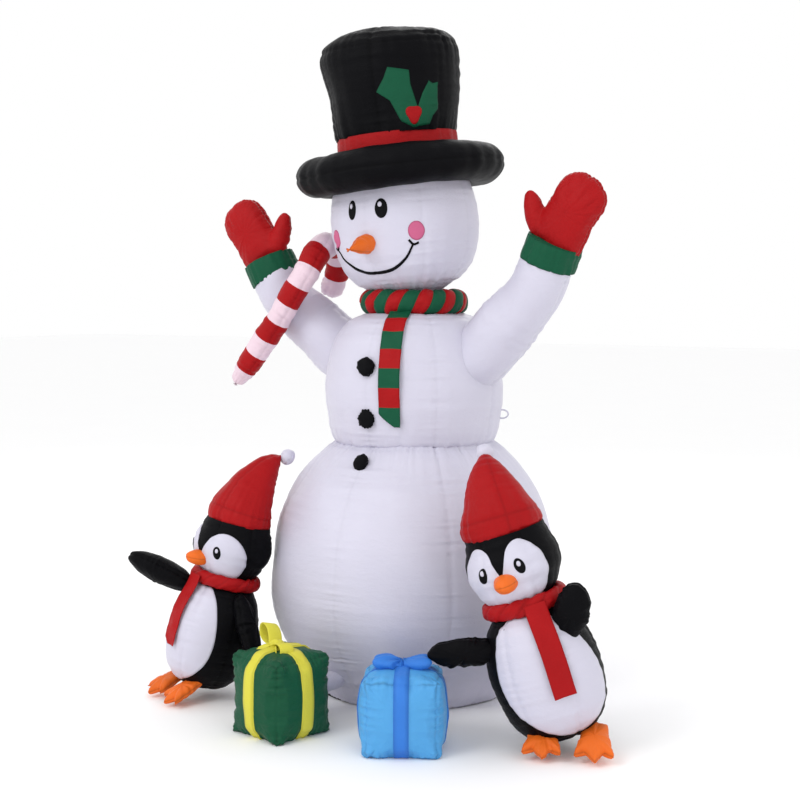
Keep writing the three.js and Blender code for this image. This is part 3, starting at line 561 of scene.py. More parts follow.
def oval(degrees, height, half_degrees, half_height, lean=0.0, spokes=40):
    """An oval outline on a shell. lean slants its top by that many degrees of angle."""
    t = np.linspace(0, 2 * math.pi, spokes, endpoint=False)
    across = degrees + half_degrees * np.cos(t) + lean * np.sin(t)
    return np.stack([across, height + half_height * np.sin(t)], axis=1)


def band(name, shell, line, half_width, slot, lift=0.0018, material=None, radius=0.25):
    """A narrow strip of cloth sewn onto a shell along a line of (degrees, height).

    half_width is for each point, and radius is the shell's, about where the strip is."""
    line = np.asarray(line, float)
    scale = math.radians(1) * radius
    flat = line * [scale, 1]
    along = unit(np.gradient(flat, axis=0))
    across = np.stack([-along[:, 1], along[:, 0]], axis=1)
    places = [(-1, -0.0006), (-0.85, lift), (0, lift), (0.85, lift), (1, -0.0006)]
    sides = [(flat + across * np.asarray(half_width)[:, None] * share) / [scale, 1] for share, _ in places]
    lifts = np.array([high for _, high in places])[:, None] * np.ones(len(line))
    grid = on_shell(shell, np.array(sides), lifts)
    return show(name, grid.reshape(-1, 3), lattice(len(places), len(line), wrap=False), slot,
                materials=[material] if material else None)


# ---------------------------------------------------------------- camera, light and floor

CAMERA_PLACE = (2.668, -4.440, 1.451)
CAMERA_PITCH = 4.45
CAMERA_TURN = 31.56
LENS = 64.1
FLOOR_HALF = 30.0


def make_camera():
    camera = bpy.data.objects.new("camera", bpy.data.cameras.new("camera"))
    camera.data.lens = LENS
    camera.data.sensor_width = 36.0
    camera.location = CAMERA_PLACE
    camera.rotation_euler = (math.radians(90 - CAMERA_PITCH), 0, math.radians(CAMERA_TURN))
    bpy.context.scene.collection.objects.link(camera)
    bpy.context.scene.camera = camera


def area_light(name, place, aim_at, size, power):
    lamp = bpy.data.lights.new(name, "AREA")
    lamp.shape = "DISK"
    lamp.size = size
    lamp.energy = power
    obj = bpy.data.objects.new(name, lamp)
    obj.location = place
    obj.rotation_euler = (Vector(aim_at) - Vector(place)).to_track_quat("-Z", "Y").to_euler()
    bpy.context.scene.collection.objects.link(obj)


def make_studio():
    scene = bpy.context.scene
    scene.view_settings.view_transform = "Standard"
    scene.world = bpy.data.worlds.new("studio")
    scene.world.use_nodes = True
    sky = scene.world.node_tree.nodes["Background"]
    sky.inputs["Color"].default_value = (1.0, 1.0, 1.0, 1.0)
    sky.inputs["Strength"].default_value = 1.0
    area_light("key", (-1.5, -5.5, 5.0), (0, 0, 1.1), 3.0, 120)
    area_light("fill", (5.0, -3.0, 2.6), (0, 0, 1.0), 3.5, 25)
    area_light("rim", (-2.0, 4.5, 4.5), (0, 0, 1.4), 3.0, 50)
    n = Nodes("studio_floor")
    tone = n.mix(n.noise(1.5), (0.965, 0.965, 0.97), (0.98, 0.98, 0.98))
    material = n.finish(tone, 0.85, n.bump(n.noise(300.0), 0.0002, 0.3))
    mesh = bpy.data.meshes.new("floor")
    corners = [(x * FLOOR_HALF, y * FLOOR_HALF, 0) for x, y in ((-1, -1), (1, -1), (1, 1), (-1, 1))]
    mesh.from_pydata(corners, [], [(0, 1, 2, 3)])
    mesh.materials.append(material)
    floor = bpy.data.objects.new("floor", mesh)
    bpy.context.scene.collection.objects.link(floor)


# ---------------------------------------------------------------- snowman

HEAD = rotation(HEAD_LEAN_AXIS, HEAD_LEAN, HEAD_PIVOT)


def make_shells():
    gored("belly_shell", BELLY_OUTLINE, UPRIGHT, "white_fabric", 11, rings=(0.896,), ends=(True, False),
          pull=0.0026, sag=0.0035)
    gored("torso_shell", TORSO_OUTLINE, UPRIGHT, "white_fabric", 12, rings=(0.908,), ends=(False, False),
          pull=0.0022)
    gored("head_shell", HEAD_OUTLINE, HEAD, "white_fabric", 13, rings=(1.470,), ends=(False, True),
          pull=0.0022)


# The snowman's face, in degrees and heights on the head. Eyes are (degrees, height, half width in degrees).
EYES = {"right": (-12.3, 1.742, 3.9), "left": (14.2, 1.737, 5.0)}
EYE_HALF_HEIGHT = 0.034
CHEEKS = {"right": -37.0, "left": 39.6}
CHEEK_HEIGHT = 1.650
SMILE = [(-38.2, 1.612), (-30.5, 1.572), (-21.5, 1.546), (-8.0, 1.521), (5.0, 1.517), (19.5, 1.529),
         (30.0, 1.560), (36.6, 1.606)]
SMILE_ENDS = {"right": [(-41.2, 1.617), (-38.2, 1.611), (-34.6, 1.621)],
              "left": [(33.2, 1.620), (36.6, 1.604), (40.8, 1.609)]}


def make_face():
    for name, (degrees, height, half) in EYES.items():
        outline = oval(degrees, height, half, EYE_HALF_HEIGHT)
        patch(f"{name}_eye", "head_shell", outline, "black_fabric", 0.0016, 6, APPLIQUE_BLACK)
        patch(f"{name}_eye_light", "head_shell", oval(degrees - 0.9, height + 0.014, half * 0.33, 0.009),
              "white_fabric", 0.0030, 3)
    for name, degrees in CHEEKS.items():
        outline = oval(degrees, CHEEK_HEIGHT, 6.4, 0.033)
        patch(f"{name}_cheek", "head_shell", outline, "white_fabric", 0.0016, 6, PINK_CLOTH)
    line = spline(np.array(SMILE) * ON_HEAD, 90) / ON_HEAD
    width = 0.0035 + 0.0030 * np.sin(np.linspace(0, math.pi, 90))
    band("smile", "head_shell", line, width, "black_fabric", 0.0018, APPLIQUE_BLACK)
    for name, ends in SMILE_ENDS.items():
        band(f"{name}_smile_end", "head_shell", spline(ends, 12), np.full(12, 0.0042), "black_fabric", 0.0022,
             APPLIQUE_BLACK)


NOSE_START = (0, -0.232, 1.626)
NOSE_LENGTH = 0.155
NOSE_RADIUS = 0.036
NOSE_TAPER = [0.93, 1.0, 1.0, 0.93, 0.80, 0.66, 0.51, 0.36, 0.20, 0.05]
NOSE_DROOP = 9


def make_nose():
    droop = math.radians(NOSE_DROOP)
    way = np.array([0, -math.cos(droop), -math.sin(droop)])
    path = np.array(NOSE_START) + np.linspace(0, NOSE_LENGTH, 44)[:, None] * way
    nose = tube("carrot_nose_skin", path, NOSE_RADIUS * np.array(NOSE_TAPER), "orange_fabric", 21, 48,
                seams=(0.4, 0.4 + math.pi), pull=0.0016, pucker=0.0014, sag=0.0016, caps=(True, True),
                stands_for=("carrot_nose",), matrix=HEAD)


def make_hat():
    gored("hat_crown", CROWN_OUTLINE, HEAD, "black_fabric", 31, gores=6, first_seam=15, rings=(2.302,),
          ends=(True, False), pull=0.0026, pucker=0.0020, sag=0.005, caps=(False, True))
    make_brim()
    path = np.linspace([0, 0, 1.9], [0, 0, 2.0], 24)
    tube("hat_band_skin", path, [0.2165, 0.2175, 0.2165], "red_fabric", 35, 160, up=(0, 1, 0), seams=(2.6,),
         pull=0.0012, pucker=0.0010, sag=0.0015, stands_for=("hat_band",), matrix=HEAD)


BRIM_RADIUS, BRIM_HALF_WIDTH, BRIM_HALF_HEIGHT, BRIM_HEIGHT = 0.296, 0.0795, 0.070, 1.876


def make_brim():
    """The stuffed roll of the hat, with one seam round its rim and one under it."""
    rows, columns = 300, 72
    turn = np.arange(rows) * 2 * math.pi / rows
    round_it = np.arange(columns) * 2 * math.pi / columns
    rng = np.random.default_rng(33)
    out = np.zeros((rows, columns))
    for seam in (0.0, math.pi * 0.94):
        off = np.abs((round_it - seam + math.pi) % (2 * math.pi) - math.pi)[None, :] * 0.075
        out += 0.0026 * np.exp(-off / 0.05) * waves_around(rng, turn, 0.33, 0.05, 0.30)[:, None]
        out -= 0.004 * np.exp(-(off / 0.008) ** 2)
    out += 0.0030 * waves_around(rng, turn, 0.3, 0.12, 0.5)[:, None] * np.cos(round_it * 0.5) ** 2
    reach = BRIM_RADIUS + (BRIM_HALF_WIDTH + out) * np.cos(round_it)
    grid = np.stack([reach * np.sin(turn)[:, None], -reach * np.cos(turn)[:, None],
                     BRIM_HEIGHT + (BRIM_HALF_HEIGHT + out) * np.sin(round_it)], axis=-1)
    grid[..., 2] += 0.004 * ripples(grid, 34, 0.3, 0.7)
    grid = moved(HEAD, grid)
    near = np.exp(-(np.abs((round_it + math.pi) % (2 * math.pi) - math.pi) * 0.075 / 0.0035) ** 2)
    show("hat_brim_skin", grid.reshape(-1, 3), lattice(rows, columns, close=True)[:, ::-1], "black_fabric",
         np.tile(near, rows), stands_for=("hat_brim",))


# The holly's leaves, in degrees and heights on the crown.
BROAD_LEAF = [(16.5, 2.133), (24.0, 2.176), (28.0, 2.212), (45.5, 2.197), (46.0, 2.150), (51.5, 2.070),
              (55.0, 2.012), (47.0, 2.004), (36.0, 2.028), (32.0, 2.062), (27.5, 2.100)]
NARROW_LEAF = [(52.0, 2.080), (56.0, 2.120), (62.4, 2.160), (66.0, 2.151), (71.5, 2.156), (70.5, 2.115),
               (71.5, 2.066), (65.5, 2.042), (63.0, 2.014), (55.0, 2.010), (50.0, 2.008), (48.5, 2.040)]


def make_holly():
    patch("holly_broad_leaf", "hat_crown", polygon(BROAD_LEAF, 110, ON_HEAD), "green_fabric", 0.0016)
    patch("holly_narrow_leaf", "hat_crown", polygon(NARROW_LEAF, 110, ON_HEAD), "green_fabric", 0.0020)
    t = np.linspace(0, 2 * math.pi, 60, endpoint=False)
    size = 1 + 0.16 * np.sin(3 * t)
    berries = np.stack([47.5 + 6.6 * size * np.cos(t), 2.050 + 0.030 * size * np.sin(t)], axis=1)
    patch("holly_berries", "hat_crown", berries, "red_fabric", 0.0034, 5)


# ---------------------------------------------------------------- soft stuffed pieces, blown up as cloth

STUFFED = []
FRAMES = 14


def ellipsoid(matrix, half, around=48, up=32):
    """A closed form: (points, faces)."""
    t = np.linspace(0, math.pi, up + 1)[1:-1]
    points, faces = closed_form(turned(np.column_stack([np.sin(t), -np.cos(t)]), around))
    return moved(matrix, points * np.asarray(half)), faces


def lathe(matrix, outline, flat=1.0, around=56, rows=40):
    """A closed form turned from (radius, height) points. flat scales its thickness, along Y."""
    points, faces = closed_form(turned(spline(outline, rows), around, flat))
    return moved(matrix, points), faces


def cushion_box(matrix, half, bulge, steps=20):
    """A closed box with crowned sides and a flat bottom: (points, faces)."""
    span = np.linspace(-1, 1, steps + 1)
    points, faces, known = [], [], {}
    for axis in range(3):
        for sign in (-1, 1):
            for i in range(steps):
                for j in range(steps):
                    face = []
                    for a, b in ((i, j), (i + 1, j), (i + 1, j + 1), (i, j + 1)):
                        at = [0.0, 0.0, 0.0]
                        at[axis], at[(axis + 1) % 3], at[(axis + 2) % 3] = sign, span[a], span[b]
                        key = tuple(round(v, 6) for v in at)
                        if key not in known:
                            known[key] = len(points)
                            points.append(key)
                        face.append(known[key])
                    faces.append(tuple(face if sign > 0 else face[::-1]))
    p = np.array(points)
    crown = np.stack([(1 - p[:, (k + 1) % 3] ** 2) * (1 - p[:, (k + 2) % 3] ** 2) for k in range(3)], axis=1)
    swell = np.sign(p) * (np.abs(p) > 0.999) * crown * bulge
    swell[:, 2] = np.maximum(swell[:, 2], 0)
    p = p * np.asarray(half) + swell
    return moved(matrix, p), faces


def joined(*forms):
    points, faces, count = [], [], 0
    for p, f in forms:
        points.append(p)
        faces += [tuple(v + count for v in face) for face in f]
        count += len(p)
    return np.vstack(points), faces


def settled(obj):
    """Applies an object's modifiers."""
    ready = obj.evaluated_get(bpy.context.evaluated_depsgraph_get())
    mesh = bpy.data.meshes.new_from_object(ready)
    obj.modifiers.clear()
    obj.data = mesh


def places(obj):
    flat = np.zeros(len(obj.data.vertices) * 3)
    obj.data.vertices.foreach_get("co", flat)
    return flat.reshape(-1, 3)


def set_places(obj, points):
    obj.data.vertices.foreach_set("co", points.reshape(-1))
    obj.data.update()


def stuffed(node, form, slot, matrix, seam, seed, cap=0.010, voxel=0.006, fill=0.7, pull=0.003, pucker=0.0022,
            smoothing=6):
    """A soft piece to be blown up. seam(points) gives how far each point is from a seam, and how far along it.

    matrix is the piece's own frame, in which seam works. cap is how far a point may move when blown up."""
    points, faces = form
    piece = show(node + "_skin", points, faces, slot, declare=False)
    remesh = piece.modifiers.new("remesh", "REMESH")
    remesh.mode = "VOXEL"
    remesh.voxel_size = voxel
    relax = piece.modifiers.new("relax", "SMOOTH")
    relax.iterations = smoothing
    settled(piece)
    STUFFED.append((piece, node, slot, matrix, seam, seed, cap, fill, pull, pucker))
    return piece


def blow_up():
    """Blows every stuffed piece up as cloth under pressure, then sews its seams in."""
    before = {}
    for piece, *_ in STUFFED:
        before[piece.name] = places(piece)
        cloth = piece.modifiers.new("cloth", "CLOTH")
        cloth.settings.quality = 4
        cloth.settings.mass = 0.25
        cloth.settings.tension_stiffness = 12
        cloth.settings.compression_stiffness = 12
        cloth.settings.bending_stiffness = 0.05
        cloth.settings.use_pressure = True
        cloth.settings.uniform_pressure_force = 4.0
        cloth.settings.shrink_min = -0.05
        cloth.settings.effector_weights.gravity = 0.0
        cloth.point_cache.frame_start = 1
        cloth.point_cache.frame_end = FRAMES
    for number in range(1, FRAMES + 1):
        bpy.context.scene.frame_set(number)
    for piece, node, slot, matrix, seam, seed, cap, fill, pull, pucker in STUFFED:
        settled(piece)
        old, new = before[piece.name], places(piece)
        gone = new - old
        far = np.linalg.norm(gone, axis=1, keepdims=True)
        set_places(piece, old + gone * np.minimum(1, cap / np.maximum(far, 1e-9)))
        piece.modifiers.new("finer", "SUBSURF").levels = 1
        settled(piece)
        normals = np.zeros(len(piece.data.vertices) * 3)
        piece.data.vertices.foreach_get("normal", normals)
        normals = normals.reshape(-1, 3)
        points = places(piece)
        off, along = seam(moved(np.linalg.inv(matrix), points))
        rng = np.random.default_rng(seed)
        out = pucker * np.exp(-off / 0.022) * waves_along(rng, along, 0.012, 0.034)
        out += pucker * np.exp(-off / 0.055) * waves_along(rng, along, 0.030, 0.070)
        out += 0.0012 * ripples(points, seed + 1, 0.05, 0.13)
        out -= pull * np.exp(-(off / 0.006) ** 2) - pull * 0.4 * np.exp(-((off - 0.012) / 0.006) ** 2)
        points = points + normals * out[:, None]
        points[:, 2] = np.maximum(points[:, 2], FLOOR_GAP)
        set_places(piece, points)
        piece.data.shade_smooth()
        near = piece.data.attributes.new("seam", "FLOAT", "POINT")
        near.data.foreach_set("value", np.exp(-(off / 0.0035) ** 2).astype(np.float32))
        skin_of(node, places(piece), [tuple(p.vertices) for p in piece.data.polygons])
        register(piece, ROOT, (node,))
    bpy.context.scene.frame_set(1)


def flat_seam(reach):
    """The seam of a piece sewn from two flat panels, in the frame's XZ plane. reach is its mean radius."""
    def seam(local):
        return np.abs(local[:, 1]), np.arctan2(local[:, 0], local[:, 2]) * reach
    return seam


def edge_seam(half):
    """The seams of a box: one along each edge."""
    def seam(local):
        gap = np.sort(np.asarray(half) - np.abs(local), axis=1)
        middle = np.argmax(np.asarray(half) - np.abs(local), axis=1)
        return np.maximum(gap[:, 1], 0), local[np.arange(len(local)), middle] + 0.31 * middle
    return seam


def frame_of(place, long_way, thin_way):
    """A matrix whose Z runs along long_way and whose Y is as near thin_way as it can be."""
    z = unit(long_way)
    y = unit(np.asarray(thin_way) - z * np.dot(thin_way, z))
    m = np.eye(4)
    m[:3, 0], m[:3, 1], m[:3, 2], m[:3, 3] = np.cross(y, z), y, z, place
    return m


# ---------------------------------------------------------------- arms, mittens, cane and scarf

ARM_LINE = [(0.140, -0.010, 1.155), (0.280, -0.020, 1.215), (0.390, -0.035, 1.315), (0.510, -0.055, 1.435),
            (0.566, -0.066, 1.542)]
ARM_RADII = [0.118, 0.114, 0.108, 0.099, 0.093]
CUFF_END = (0.594, -0.072, 1.606)
HAND_WAY = (0.575, -0.09, 0.815)
HAND_OUTLINE = [(0.091, 0.002), (0.095, 0.050), (0.091, 0.110), (0.092, 0.160), (0.082, 0.210), (0.050, 0.242),
                (0.002, 0.252)]
HAND_THICKNESS = 0.62
THUMB = (0.538, -0.088, 1.690)
THUMB_HALF = (0.037, 0.035, 0.094)
THUMB_LEAN = 22
RIGHT_ARM_DROP = 0.046


def mirrored(points, right):
    """Points of the left arm, or of the right one, which hangs a little lower towards its hand."""
    points = np.array(points, float)
    if right:
        share = np.linspace(0, 1, len(points)) if len(points) > 2 else np.ones(len(points))
        points[:, 0] *= -1
        points[:, 2] -= RIGHT_ARM_DROP * share ** 2
    return points


def make_arm(side, seed):
    right = side == "right"
    path = spline(mirrored(ARM_LINE, right), 84)
    tube(f"{side}_arm_skin", path, ARM_RADII, "white_fabric", seed, 96, up=(0, -1, 0),
         seams=(math.pi / 2, -math.pi / 2), ends=(False, False), pull=0.003, pucker=0.0018, sag=0.004,
         stands_for=(f"{side}_arm",))
    start = mirrored([ARM_LINE[-1], CUFF_END], right)
    way = unit(start[1] - start[0])
    cuff = spline([start[0] - way * 0.007, start.mean(axis=0), start[1] + way * 0.006], 22)
    piece = tube(f"{side}_cuff_skin", cuff, [0.0985, 0.0980, 0.0970, 0.0950], "green_fabric", seed + 1, 96,
                 up=(0, -1, 0), seams=(math.pi / 2,), pull=0.0015, pucker=0.0016, caps=(True, True),
                 stands_for=(f"{side}_cuff",))
    flip = -1 if right else 1
    hand_way = np.array(HAND_WAY) * [flip, 1, 1]
    base = mirrored([CUFF_END, CUFF_END], right)[0]
    hand = frame_of(base, hand_way, (0, 1, 0))
    thumb = mirrored([THUMB, THUMB], right)[0]
    thumb_frame = frame_of(thumb, (-flip * math.sin(math.radians(THUMB_LEAN)), 0, 1), (0, 1, 0))
    form = joined(lathe(hand, HAND_OUTLINE, HAND_THICKNESS), ellipsoid(thumb_frame, THUMB_HALF))
    middle = frame_of(base + unit(hand_way) * 0.12, hand_way, (0, 1, 0))
    stuffed(f"{side}_mitten", form, "red_fabric", middle, flat_seam(0.11), seed + 2, 0.005, 0.005, 0.8,
            smoothing=2)


CANE_LINE = [(-0.648, -0.222, 1.095), (-0.530, -0.212, 1.245), (-0.420, -0.206, 1.392), (-0.352, -0.186, 1.505),
             (-0.332, -0.125, 1.592), (-0.338, -0.040, 1.618), (-0.366, 0.055, 1.580), (-0.408, 0.102, 1.505),
             (-0.448, 0.116, 1.436)]
CANE_BANDS = 13
CANE_RADIUS = 0.046


def make_cane():
    path = spline(CANE_LINE, CANE_BANDS * 16 + 1)
    share = np.linspace(0, 1, 60)
    radii = CANE_RADIUS * np.minimum(1, np.sqrt(share / 0.115) * 0.93 + 0.10)
    radii[-2:] *= [0.96, 0.80]
    piece = tube("candy_cane_skin", path, radii, "striped_fabric", 61, 56, up=(0, 1, 0),
                 seams=(0.9, 0.9 + math.pi), pull=0.0028, pucker=0.0026, sag=0.003, caps=(True, True),
                 paint=lambda s: int(s * CANE_BANDS) % 2, stands_for=("candy_cane",),
                 materials=[MATERIALS["striped_fabric"], MATERIALS["red_fabric"]])


def scarf_ring(node, matrix, radius, wide, high, height, seed, stripes, materials):
    """A stuffed ring of twisted cloth. Its folds wind round it, and each fold may have its own colour."""
    steps, columns = 11, 44
    rows = stripes * steps
    lead = steps * 2
    row = np.arange(rows)[:, None] * np.ones(columns)
    column = np.ones((rows, 1)) * np.arange(columns)
    turn = (row + lead * column / columns) * 2 * math.pi / rows
    round_it = column * 2 * math.pi / columns
    rng = np.random.default_rng(seed)
    stripe = (row[:, 0] % steps) / steps
    fold = np.minimum(stripe, 1 - stripe)
    depth = high / 0.039
    out = -0.0040 * depth * np.exp(-(fold / 0.10) ** 2)[:, None] * np.ones(columns)
    out += 0.0020 * depth * waves_around(rng, turn[:, 0], radius, 0.03, 0.09)[:, None]
    reach = radius + (wide + out) * np.cos(round_it)
    level = height + (high + out) * np.sin(round_it)
    grid = np.stack([reach * np.sin(turn), -reach * np.cos(turn), level], axis=-1)
    outward = unit(grid * [1, 1, 0] + [0, 0, 1e-6])
    grid += 0.0020 * depth * ripples(grid, seed + 1, 0.05, 0.12)[..., None] * outward
    bands = np.repeat((np.arange(rows) // steps) % len(materials), columns)
    near = np.exp(-(fold / 0.08) ** 2)[:, None] * np.ones(columns)
    faces = lattice(rows, columns, True, lead, True)[:, ::-1]
    piece = show(node + "_skin", moved(matrix, grid.reshape(-1, 3)), faces, "red_fabric", near.reshape(-1),
                 bands, materials, stands_for=(node,))


def make_scarf():
    scarf_ring("scarf_ring", UPRIGHT, 0.153, 0.043, 0.045, 1.405, 71, 22,
               [MATERIALS["red_fabric"], MATERIALS["green_fabric"]])


def cloth_strip(name, line, across, widths, offsets, slot, body, stands_for, paint, materials, seed,
                thick=0.0016, steps=12):
    """A hanging strip of cloth, closed, with a thickness. widths is (left, right) of the line at each point."""
    line = np.asarray(line, float)
    forward = unit(np.gradient(line, axis=0))
    across = unit(across)
    out = unit(np.cross(across, forward))
    share = np.linspace(0, 1, steps)
    left, right = widths
    place = line[:, None] + (left[:, None] + (right - left)[:, None] * share)[..., None] * across
    wave = offsets[:, None] * np.cos(share * math.pi * 2) + 0.0008 * ripples(place, seed, 0.03, 0.09)
    front = place + out[:, None] * (wave + thick / 2)[..., None]
    back = place + out[:, None] * (wave - thick / 2)[..., None]
    grid = np.concatenate([front, back[:, ::-1]], axis=1)
    rows, columns = grid.shape[:2]
    faces = [tuple(f) for f in lattice(rows, columns)]
    bands = list(np.repeat([paint(k) for k in range(rows - 1)], columns))
    half = columns // 2
    for end in (0, rows - 1):
        for c in range(half - 1):
            quad = (end * columns + c, end * columns + c + 1, end * columns + columns - 2 - c,
                    end * columns + columns - 1 - c)
            faces.append(quad if end else quad[::-1])
            bands.append(bands[0] if end == 0 else bands[rows * columns - columns - 1])
    edge = np.zeros((rows, columns))
    edge[:, [0, half - 1, half, columns - 1]] = 0.5
    return show(name, grid.reshape(-1, 3), faces, slot, edge.reshape(-1), bands, materials, body, stands_for)


TAIL_LINE = [(0.168, 1.384), (0.186, 1.370), (0.215, 1.356), (0.247, 1.338), (0.300, 1.268), (0.327, 1.180),
             (0.332, 1.105), (0.328, 1.040), (0.322, 0.978)]
TAIL_ANGLE = 16
TAIL_WIDTH = 0.076
TAIL_STRIPES = 7
STRIPE_ROWS = 14


def make_scarf_tail():
    rows = TAIL_STRIPES * STRIPE_ROWS + 1
    profile = spline(TAIL_LINE, rows)
    t = math.radians(TAIL_ANGLE)
    line = np.stack([profile[:, 0] * math.sin(t), -profile[:, 0] * math.cos(t), profile[:, 1]], axis=1)
    across = np.array([math.cos(t), math.sin(t), 0])
    share = np.linspace(0, 1, rows)
    left = -TAIL_WIDTH / 2 + 0.055 * np.clip((share - 0.90) / 0.10, 0, 1) ** 1.3
    right = np.full(rows, TAIL_WIDTH / 2)
    offsets = 0.0022 * np.sin(share * math.pi * 5 + 0.6) * np.clip(share * 5, 0, 1)
    piece = cloth_strip("scarf_tail_cloth", line, across, (left, right), offsets, "green_fabric",
                        "scarf_tail_body", ("scarf_tail",), lambda k: (k // STRIPE_ROWS) % 2,
                        [MATERIALS["green_fabric"], MATERIALS["red_fabric"]], 75)


def blob(node, matrix, half, slot, seed, rough=0.0025, seam_pull=0.0015, square=1.0):
    """A small stuffed piece with a gathered edge, flattened along its frame's Y."""
    up, around = 40, 64
    t = np.linspace(0, math.pi, up + 1)[1:-1]
    a = np.arange(around) * 2 * math.pi / around
    along = -(np.sign(np.cos(t)) * np.abs(np.cos(t)) ** square)[:, None] * np.ones_like(a)
    shape = np.stack([np.sin(t)[:, None] * np.cos(a), along, np.sin(t)[:, None] * np.sin(a)], axis=-1)
    rng = np.random.default_rng(seed)
    edge = np.exp(-(np.abs(t - math.pi / 2) / 0.35) ** 2)[:, None]
    size = 1 + (rough / max(half)) * 1.2 * edge * waves_around(rng, a, max(half), 0.012, 0.05)[None]
    size -= (seam_pull / max(half)) * np.exp(-(np.abs(t - math.pi / 2) / 0.07) ** 2)[:, None]
    grid = shape * np.asarray(half) * size[..., None]
    grid = grid * (1 + rough / max(half) * ripples(grid, seed + 1, 0.02, 0.06)[..., None])
    near = np.exp(-(np.abs(t - math.pi / 2) / 0.05) ** 2)[:, None] * np.ones_like(a)
    points, faces, near = capped(moved(matrix, grid), lattice(len(t), around)[:, ::-1], near, False, False)
    for ring in (0, len(t) - 1):
        middle = len(points)
        pole = points[ring * around:(ring + 1) * around].mean(axis=0)
        points, near = np.vstack([points, pole]), np.append(near, 0.0)
        for c in range(around):
            pair = (ring * around + c, ring * around + (c + 1) % around)
            faces.append((middle, *(pair if ring == 0 else pair[::-1])))
    piece = show(node + "_skin", points, faces, slot, near, stands_for=(node,))
    return piece


def make_buttons():
    for number in (1, 2, 3):
        low, high = (np.array(v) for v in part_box(f"button_{number}"))
        middle, size = (low + high) / 2, high - low
        matrix = frame_of(middle, (0, 0, 1), (0, 1, 0)) @ rotation((0, 1, 0), 40 * number)
        blob(f"button_{number}", matrix, (size[0] * 0.5, size[1] * 0.48, size[2] * 0.49), "black_fabric",
             80 + number, 0.0019, square=0.75)


def strap(name, path, across, width, thick, slot, body=ROOT, stands_for=(), near=0.0):
    """A flat strap along a path, closed, with rounded edges."""
    path = np.asarray(path, float)
    forward = unit(np.gradient(path, axis=0))
    across = unit(np.broadcast_to(across, path.shape))
    out = unit(np.cross(forward, across))
    section = [(-0.5, -0.2), (-0.44, -0.5), (0, -0.55), (0.44, -0.5), (0.5, -0.2), (0.5, 0.2), (0.44, 0.5),
               (0, 0.55), (-0.44, 0.5), (-0.5, 0.2)]
    grid = np.stack([path + across * (a * width) + out * (b * thick) for a, b in section], axis=1)
    shade = np.full(grid.shape[:2], near)
    points, faces, shade = capped(grid, lattice(*grid.shape[:2]), shade, True, True)
    return show(name, points, faces, slot, shade, body=body, stands_for=stands_for)


def make_tether_loops():
    for side, flip in (("left", 1), ("right", -1)):
        low, high = (np.array(v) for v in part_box(f"{side}_tether_loop"))
        middle = (low + high) / 2
        t = math.radians(25)
        out = np.array([flip * math.cos(t), math.sin(t), 0])
        half = (high[2] - low[2]) / 2 - 0.002
        a = np.linspace(-1.25, 1.25, 30)
        root = middle - out * 0.012
        path = root + out * (np.cos(a) * 0.024)[:, None] + np.array([0, 0, 1]) * (np.sin(a) * half)[:, None]
        path = np.vstack([path[0] - out * 0.012, path, path[-1] - out * 0.012])
        strap(f"{side}_tether_webbing", spline(path, 46), (-out[1], out[0], 0), 0.016, 0.0045, "white_fabric",
              stands_for=(f"{side}_tether_loop",))


# ---------------------------------------------------------------- penguins

PENGUINS = [
    {"name": "left_penguin", "place": (0.820, -0.400), "heading": 21, "lean": 17.7, "towards": (-1, 0.05),
     "size": 1.0, "hat": 1.0, "tail_angle": 19, "face": -8.5, "face_width": 1.0, "face_drop": 0.0,
     "beak": (-7, 0.582), "belly": (0, 26), "seed": 101,
     "outer": ((0.2, -0.18, 0.96), (0.058, 0.036, 0.092)),
     "inner": ((-0.983, -0.158, -0.07), (0.050, 0.030, 0.118))},
    {"name": "right_penguin", "place": (-0.568, -0.560), "heading": -27, "lean": 14, "towards": (0.35, 0.94),
     "size": 0.89, "hat": 1.2, "tail_angle": 7, "face": 10.0, "face_width": 1.35, "face_drop": 0.020,
     "beak": (7, 0.562), "belly": (14, 4), "seed": 131,
     "outer": ((-0.47, -0.76, 0.45), (0.050, 0.044, 0.128)),
     "inner": ((0.3, 0.12, -0.94), (0.030, 0.048, 0.118))},
]
HAT_RISE = 0.246
HAT_DROOP = 0.095
PENGUIN_TAIL = [(0.143, 0.497), (0.147, 0.465), (0.160, 0.422), (0.188, 0.320), (0.189, 0.206)]
PENGUIN_TAIL_WIDTH = 0.072
FACE_HALF = [(1.5, 0.594), (6.5, 0.606), (8.0, 0.640), (11, 0.672), (18, 0.693), (29, 0.702), (41, 0.692),
             (51, 0.664), (58, 0.620), (60, 0.575), (55, 0.530), (44, 0.500), (22, 0.488)]
BELLY_HALF = [(0, 0.462), (28, 0.458), (43, 0.425), (52, 0.370), (58, 0.300), (60, 0.230), (56, 0.165),
              (42, 0.110), (22, 0.080), (0, 0.072)]


def standing(spec):
    """The frame of a penguin's feet: turned, but not leaning."""
    return shift(*spec["place"], 0) @ rotation((0, 0, 1), spec["heading"])


def leaning(spec):
    """The frame of a penguin's body, for a size of 1."""
    x, y = spec["towards"]
    return standing(spec) @ rotation((-y, x, 0), spec["lean"]) @ shift(0, 0, 0, spec["size"])


def both_sides(half):
    return half + [(-a, z) for a, z in half[::-1] if a > 0]


